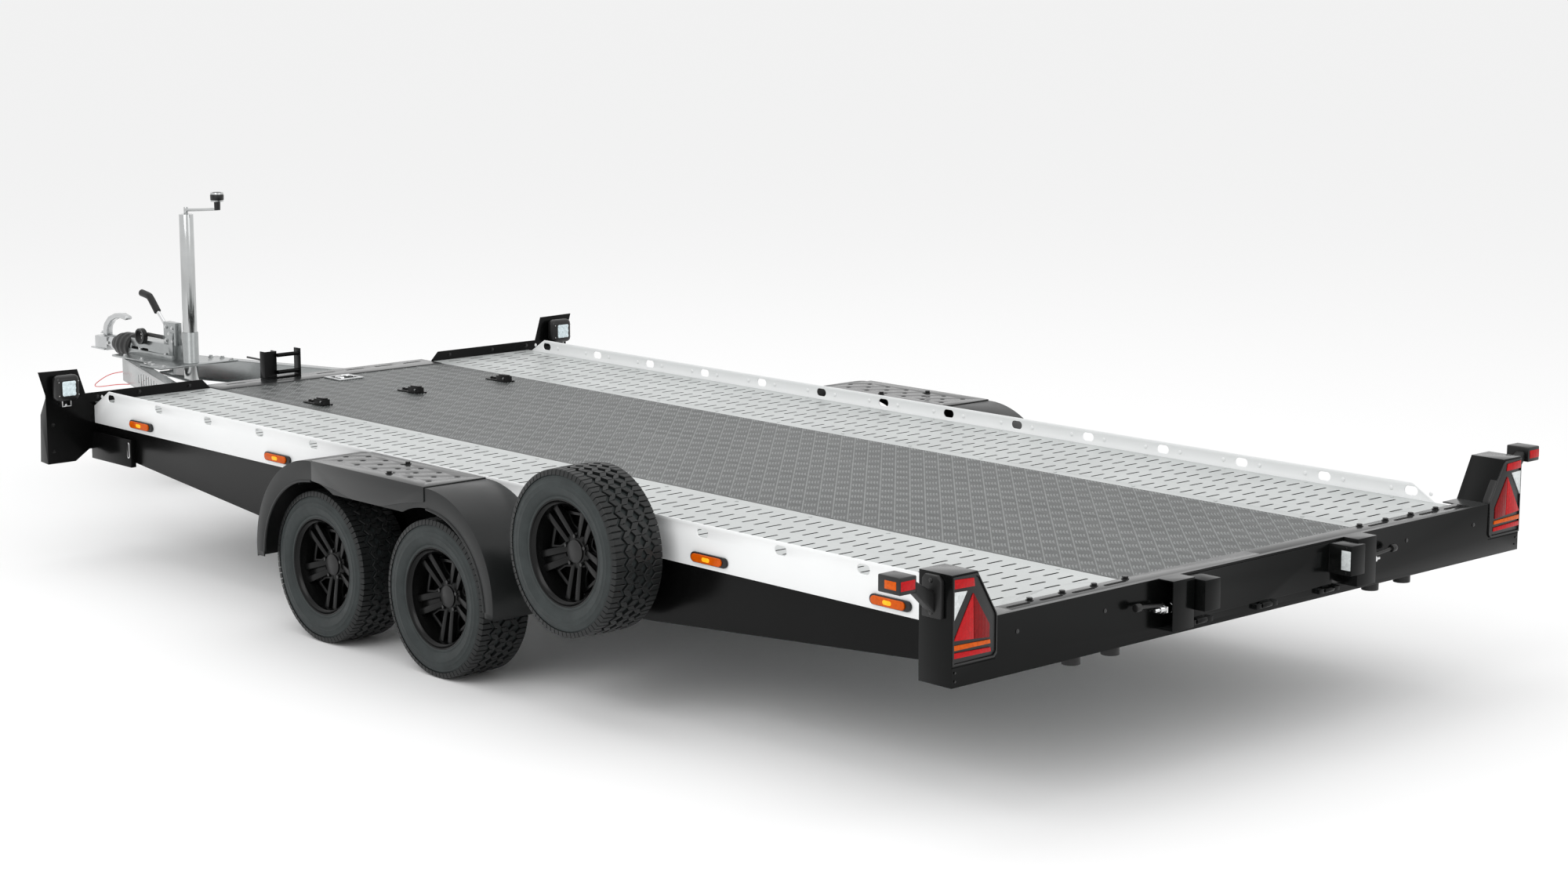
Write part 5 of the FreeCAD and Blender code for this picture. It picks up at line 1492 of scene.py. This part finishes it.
@dataclass
class DrawbarHardware:
    """The coupling's handle, the black grips and ring, the housing's slots as dark inlays of painted shade, and the
    beams' bolts.
    """

    coupling_level: float = 0.53
    housing_start: float = 5.82

    def handle(self) -> None:
        """Build the flat bent handle in place of the round one."""
        outline = [
            (6.45, 0.554), (6.447, 0.59), (6.437, 0.612), (6.401, 0.643), (6.348, 0.662), (6.296, 0.666),
            (6.25, 0.657), (6.246, 0.645), (6.256, 0.639), (6.296, 0.644), (6.34, 0.64), (6.385, 0.623),
            (6.412, 0.598), (6.418, 0.58), (6.418, 0.554),
        ]
        shape = Shape()
        shape.prism([(station(along), -0.017, up) for along, up in outline], (0.0, 0.034, 0.0), CAST_SILVER, 0.006,
                    segments=3)
        shape.made("bent_coupling_handle", NODE_BODY["coupling_handle"], NODE_SLOT["coupling_handle"],
                   ["coupling_handle"])

    def head(self, shape: Shape) -> None:
        """Add the coupling head's lower flange and the bolts through the shaft."""
        low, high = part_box("coupling_head")
        shape.block(
            (station(6.392), -0.047, low.z + 0.0005), (high.x - 0.012, 0.047, low.z + 0.007), CAST_SILVER, 0.0022,
        )
        shape.rod((station(6.372), -0.041, self.coupling_level), (station(6.372), 0.041, self.coupling_level), 0.0075,
                  BOLT_ZINC, 6, 0.001)
        shape.bolt((station(6.47), 0.0, high.z), (0.0, 0.0, 1.0), 0.011, BOLT_ZINC)

    def housing(self, shape: Shape) -> None:
        """Add the housing's two slots on each side, as dark inlays of painted shade, and its clamp bolts."""
        for side in Side:
            out = side.value * 0.0355
            for middle in (6.143, 6.059):
                slot = pill(0.0185, 0.0065, 6)
                outline = [(station(middle + along), out, 0.533 + up) for along, up in slot]
                # Dark inlays on the housing's sides stand in for its slots: painted shade.
                shape.prism(outline, (0.0, side.value * 0.0006, 0.0), DARK_BLACK_AND_SLOT_SHADE)
            for along in (5.88, 6.09):
                shape.bolt((station(along), side.value * 0.0415, 0.53), (0.0, 0.0, 1.0), 0.0075, BOLT_ZINC)
        level = self.coupling_level
        shape.rod((station(6.168), 0.0, level), (station(6.188), 0.0, level), 0.041, ZINC, 40, 0.002)

    def grips(self) -> None:
        """Build the brake lever's grip, the crank's knob, and the plug's parking ring with its pipe."""
        lever, level = self.housing_start + 0.077, self.coupling_level
        _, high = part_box("brake_lever")
        across = high.y - 0.014
        shape = Shape()
        shape.tube([
            (station(lever - 0.03), across, level + 0.086), (station(lever + 0.044), across, level + 0.158),
            (station(lever + 0.1), across, level + 0.197),
        ], 0.008, CHROME, 4)
        shape.tube([
            (station(lever + 0.074), across, level + 0.176), (station(lever + 0.128), across, level + 0.232),
            (station(lever + 0.146), across, level + 0.2395), (station(lever + 0.2), across, level + 0.246),
        ], 0.0155, SOFT_BLACK, 5)
        shape.made("handbrake_lever", NODE_BODY["brake_lever"], NODE_SLOT["brake_lever"], ["brake_lever"])
        low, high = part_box("jack_crank")
        knob = Vector((low.x + 0.027, low.y + 0.027, high.z))
        shape = Shape()
        shape.turned([
            (0.0, -0.074), (0.0125, -0.074), (0.0135, -0.04), (0.024, -0.0375), (0.0282, -0.03), (0.0286, -0.012),
            (0.0255, -0.003), (0.018, 0.001), (0.0, 0.0015),
        ], tuple(knob), Axis.Z, HARD_BLACK, 32, closed=False)
        shape.made("crank_knob", NODE_BODY["jack_crank"], NODE_SLOT["bellows"])
        shape = Shape()
        ring = (station(self.housing_start + 0.245), 0.049, level + 0.062)
        shape.turned([
            (0.0255, -0.0125), (0.0325, -0.0128), (0.0348, -0.0105), (0.0348, 0.0105), (0.0325, 0.0128),
            (0.0255, 0.0125),
        ], ring, Axis.Y, SOFT_BLACK, 48)
        shape.rod((station(self.housing_start + 0.0805), 0.034, level + 0.072), (ring[0] - 0.03, 0.034, level + 0.072),
                  0.0088, SOFT_BLACK, 20)
        shape.made("plug_ring_cover", CHASSIS, NODE_SLOT["bellows"])

    def bracket(self, shape: Shape) -> None:
        """Add the bolts of the brake lever's sector box."""
        start = self.housing_start
        for along, up in ((0.008, 0.062), (0.008, 0.118), (0.06, 0.062), (0.034, 0.092), (0.06, 0.12)):
            shape.bolt((station(start + along), 0.036, self.coupling_level + up), (0.0, 1.0, 0.0), 0.007, BOLT_ZINC)

    def beams(self, shape: Shape) -> None:
        """Add the bolts along the left drawbar beam's top flange and the ones through the nose plate."""
        for along, across in ((5.69, 0.165), (5.77, 0.17), (5.83, 0.15), (5.96, 0.11), (6.1, 0.11)):
            for side in Side:
                shape.bolt((station(along), side.value * across, 0.508), (0.0, 0.0, 1.0), 0.009, BOLT_ZINC)

    def build(self) -> None:
        """Build the drawbar's small pieces."""
        self.handle()
        self.grips()
        shape = Shape()
        self.head(shape)
        self.housing(shape)
        self.bracket(shape)
        self.beams(shape)
        shape.made("drawbar_fastenings", CHASSIS, NODE_SLOT["overrun_housing"])


@dataclass
class DeckFittings:
    """The lashing fittings' levers and pins, the ring's silver tray and the guards' reflectors."""

    rows: tuple[float, ...] = (-0.42, 0.005, 0.436)

    def fittings(self, shape: Shape) -> None:
        """Add a lever and two pins to each low fitting."""
        low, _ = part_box("lashing_fittings")
        level = 0.568
        for across in self.rows:
            start = low.x
            shape.block(
                (start + 0.012, across - 0.011, level + 0.018), (start + 0.062, across + 0.011, level + 0.027),
                BLACK_STEEL, 0.003, 2,
            )
            shape.rod(
                (start + 0.02, across - 0.021, level + 0.014), (start + 0.02, across + 0.021, level + 0.014),
                0.004, CHROME, 12,
            )
            for shift in (0.082, 0.1, 0.118):
                shape.bolt((start + shift, across, level + 0.005), (0.0, 0.0, 1.0), 0.007, BOLT_BLACK)

    def tray(self, shape: Shape) -> None:
        """Add the tray's silver rim and the folded ring inside it."""
        _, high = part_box("lashing_fittings")
        middle = high.x - 0.054
        rim = [(-0.055, -0.059), (0.055, -0.059), (0.055, 0.059), (-0.055, 0.059)]
        hole = [(-0.039, -0.043), (0.039, -0.043), (0.039, 0.043), (-0.039, 0.043)]
        shape.prism(
            [(middle + along, across, 0.5685) for along, across in rim], (0.0, 0.0, 0.0056), CAST_SILVER, 0.002,
            [[(middle + along, across, 0.5685) for along, across in hole]],
        )
        shape.tube([
            (middle - 0.03, -0.02, 0.574), (middle - 0.02, -0.034, 0.574), (middle + 0.012, -0.034, 0.574),
            (middle + 0.032, 0.0, 0.574), (middle + 0.012, 0.034, 0.574), (middle - 0.02, 0.034, 0.574),
            (middle - 0.03, 0.02, 0.574),
        ], 0.005, CHROME, 3)

    def reflectors(self, shape: Shape) -> None:
        """Add the left reflector behind the outrigger: a chrome edge round a rounded slot, whose inside is a black
        inlay of painted shade.
        """
        low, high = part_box("outriggers")
        centre, middle, face = low.x + 0.014, (low.z + high.z) / 2 + 0.012, high.y
        ring = pill(0.022, 0.0085, 6, upright=True)
        outline = [(centre + along, face - 0.001, middle + up) for along, up in ring]
        shape.prism(outline, (0.0, 0.0035, 0.0), CHROME, 0.0012)
        # The black inlay fills the slot's inside: painted shade.
        inside = [(centre + along * 0.6, face + 0.002, middle + up * 0.86) for along, up in ring]
        shape.prism(inside, (0.0, 0.0014, 0.0), HARD_BLACK, 0.0)

    def build(self) -> None:
        """Build the deck's fittings and the reflectors."""
        shape = Shape()
        self.fittings(shape)
        self.tray(shape)
        shape.made("lashing_levers", CHASSIS, NODE_SLOT["lashing_fittings"])
        shape = on_both_sides(self.reflectors)
        shape.made("outrigger_reflectors", CHASSIS, NODE_SLOT["lashing_fittings"])


@dataclass
class Studio:
    """The camera at the photograph's viewing angle, soft lights and a pale floor."""

    lens: float = 67.6
    yaw: float = 0.7445
    pitch: float = 0.1725
    eye: Point = (-5.1, 6.557, 2.331)
    sky: float = 0.93

    def camera(self) -> None:
        """Make the camera."""
        data = bpy.data.cameras.new("camera")
        data.lens = self.lens
        data.sensor_width = 36.0
        data.clip_end = 400.0
        camera = bpy.data.objects.new("camera", data)
        bpy.context.scene.collection.objects.link(camera)
        camera.location = (station(self.eye[0]), self.eye[1], self.eye[2])
        level = math.cos(self.pitch)
        ahead = Vector((level * math.cos(self.yaw), -level * math.sin(self.yaw), -math.sin(self.pitch)))
        camera.rotation_euler = ahead.to_track_quat("-Z", "Y").to_euler()
        bpy.context.scene.camera = camera

    def lamp(self, name: str, at: Point, size: float, power: float) -> None:
        """Make a soft square lamp that looks at the trailer's middle.

        Args:
            name: its name.
            at: where it hangs.
            size: its width.
            power: its power in watts.
        """
        data = bpy.data.lights.new(name, "AREA")
        data.size = size
        data.energy = power
        lamp = bpy.data.objects.new(name, data)
        bpy.context.scene.collection.objects.link(lamp)
        lamp.location = at
        lamp.rotation_euler = (Vector((0.0, 0.0, 0.4)) - Vector(at)).to_track_quat("-Z", "Y").to_euler()

    def world(self) -> None:
        """Make a world that is white to the camera and in reflections, and dimmer as light."""
        world = bpy.data.worlds.new("studio")
        bpy.context.scene.world = world
        world.use_nodes = True
        tree = world.node_tree
        ground = tree.nodes["Background"]
        ground.inputs["Color"].default_value = (1.0, 1.0, 1.0, 1.0)
        path = tree.nodes.new("ShaderNodeLightPath")
        strength = tree.nodes.new("ShaderNodeMapRange")
        strength.inputs["To Min"].default_value = self.sky
        strength.inputs["To Max"].default_value = 1.0
        seen = tree.nodes.new("ShaderNodeMath")
        seen.operation = "MAXIMUM"
        tree.links.new(path.outputs["Is Camera Ray"], seen.inputs[0])
        tree.links.new(path.outputs["Is Glossy Ray"], seen.inputs[1])
        tree.links.new(seen.outputs["Value"], strength.inputs["Value"])
        tree.links.new(strength.outputs["Result"], ground.inputs["Strength"])

    def floor(self) -> None:
        """Make the pale floor."""
        part = bmesh.new()
        bmesh.ops.create_grid(part, x_segments=1, y_segments=1, size=180.0)
        data = bpy.data.meshes.new("floor")
        part.to_mesh(data)
        part.free()
        data.materials.append(Paper("pale_floor", (0.95, 0.95, 0.95), 0.9, specular=0.0).material())
        floor = bpy.data.objects.new("floor", data)
        bpy.context.scene.collection.objects.link(floor)

    def build(self) -> None:
        """Make the camera, the world, the lamps and the floor."""
        self.camera()
        self.world()
        self.floor()
        self.lamp("key", (-3.0, 7.0, 5.5), 5.0, 170.0)
        self.lamp("fill", (-8.0, -2.0, 5.0), 5.0, 60.0)
        self.lamp("top", (2.0, 0.0, 8.0), 7.0, 80.0)
        bpy.context.scene.view_settings.view_transform = "Standard"


def main() -> None:
    """Build the studio and every sub-assembly in order."""
    logging.basicConfig(level=logging.INFO, format="%(name)s: %(message)s")
    for assembly in (
        Studio(), BreakawayCable(), Pressings(), TreadPlate(), Wheels(), TailLamps(), OutlineMarkers(), SideMarkers(),
        WorkLamps(), FenderTrim(), Fasteners(), FlapLamps(), RearHardware(), DrawbarHardware(), DeckFittings(),
    ):
        assembly.build()
        LOG.info("finished %s", type(assembly).__name__)


if __name__ == "__main__":
    main()
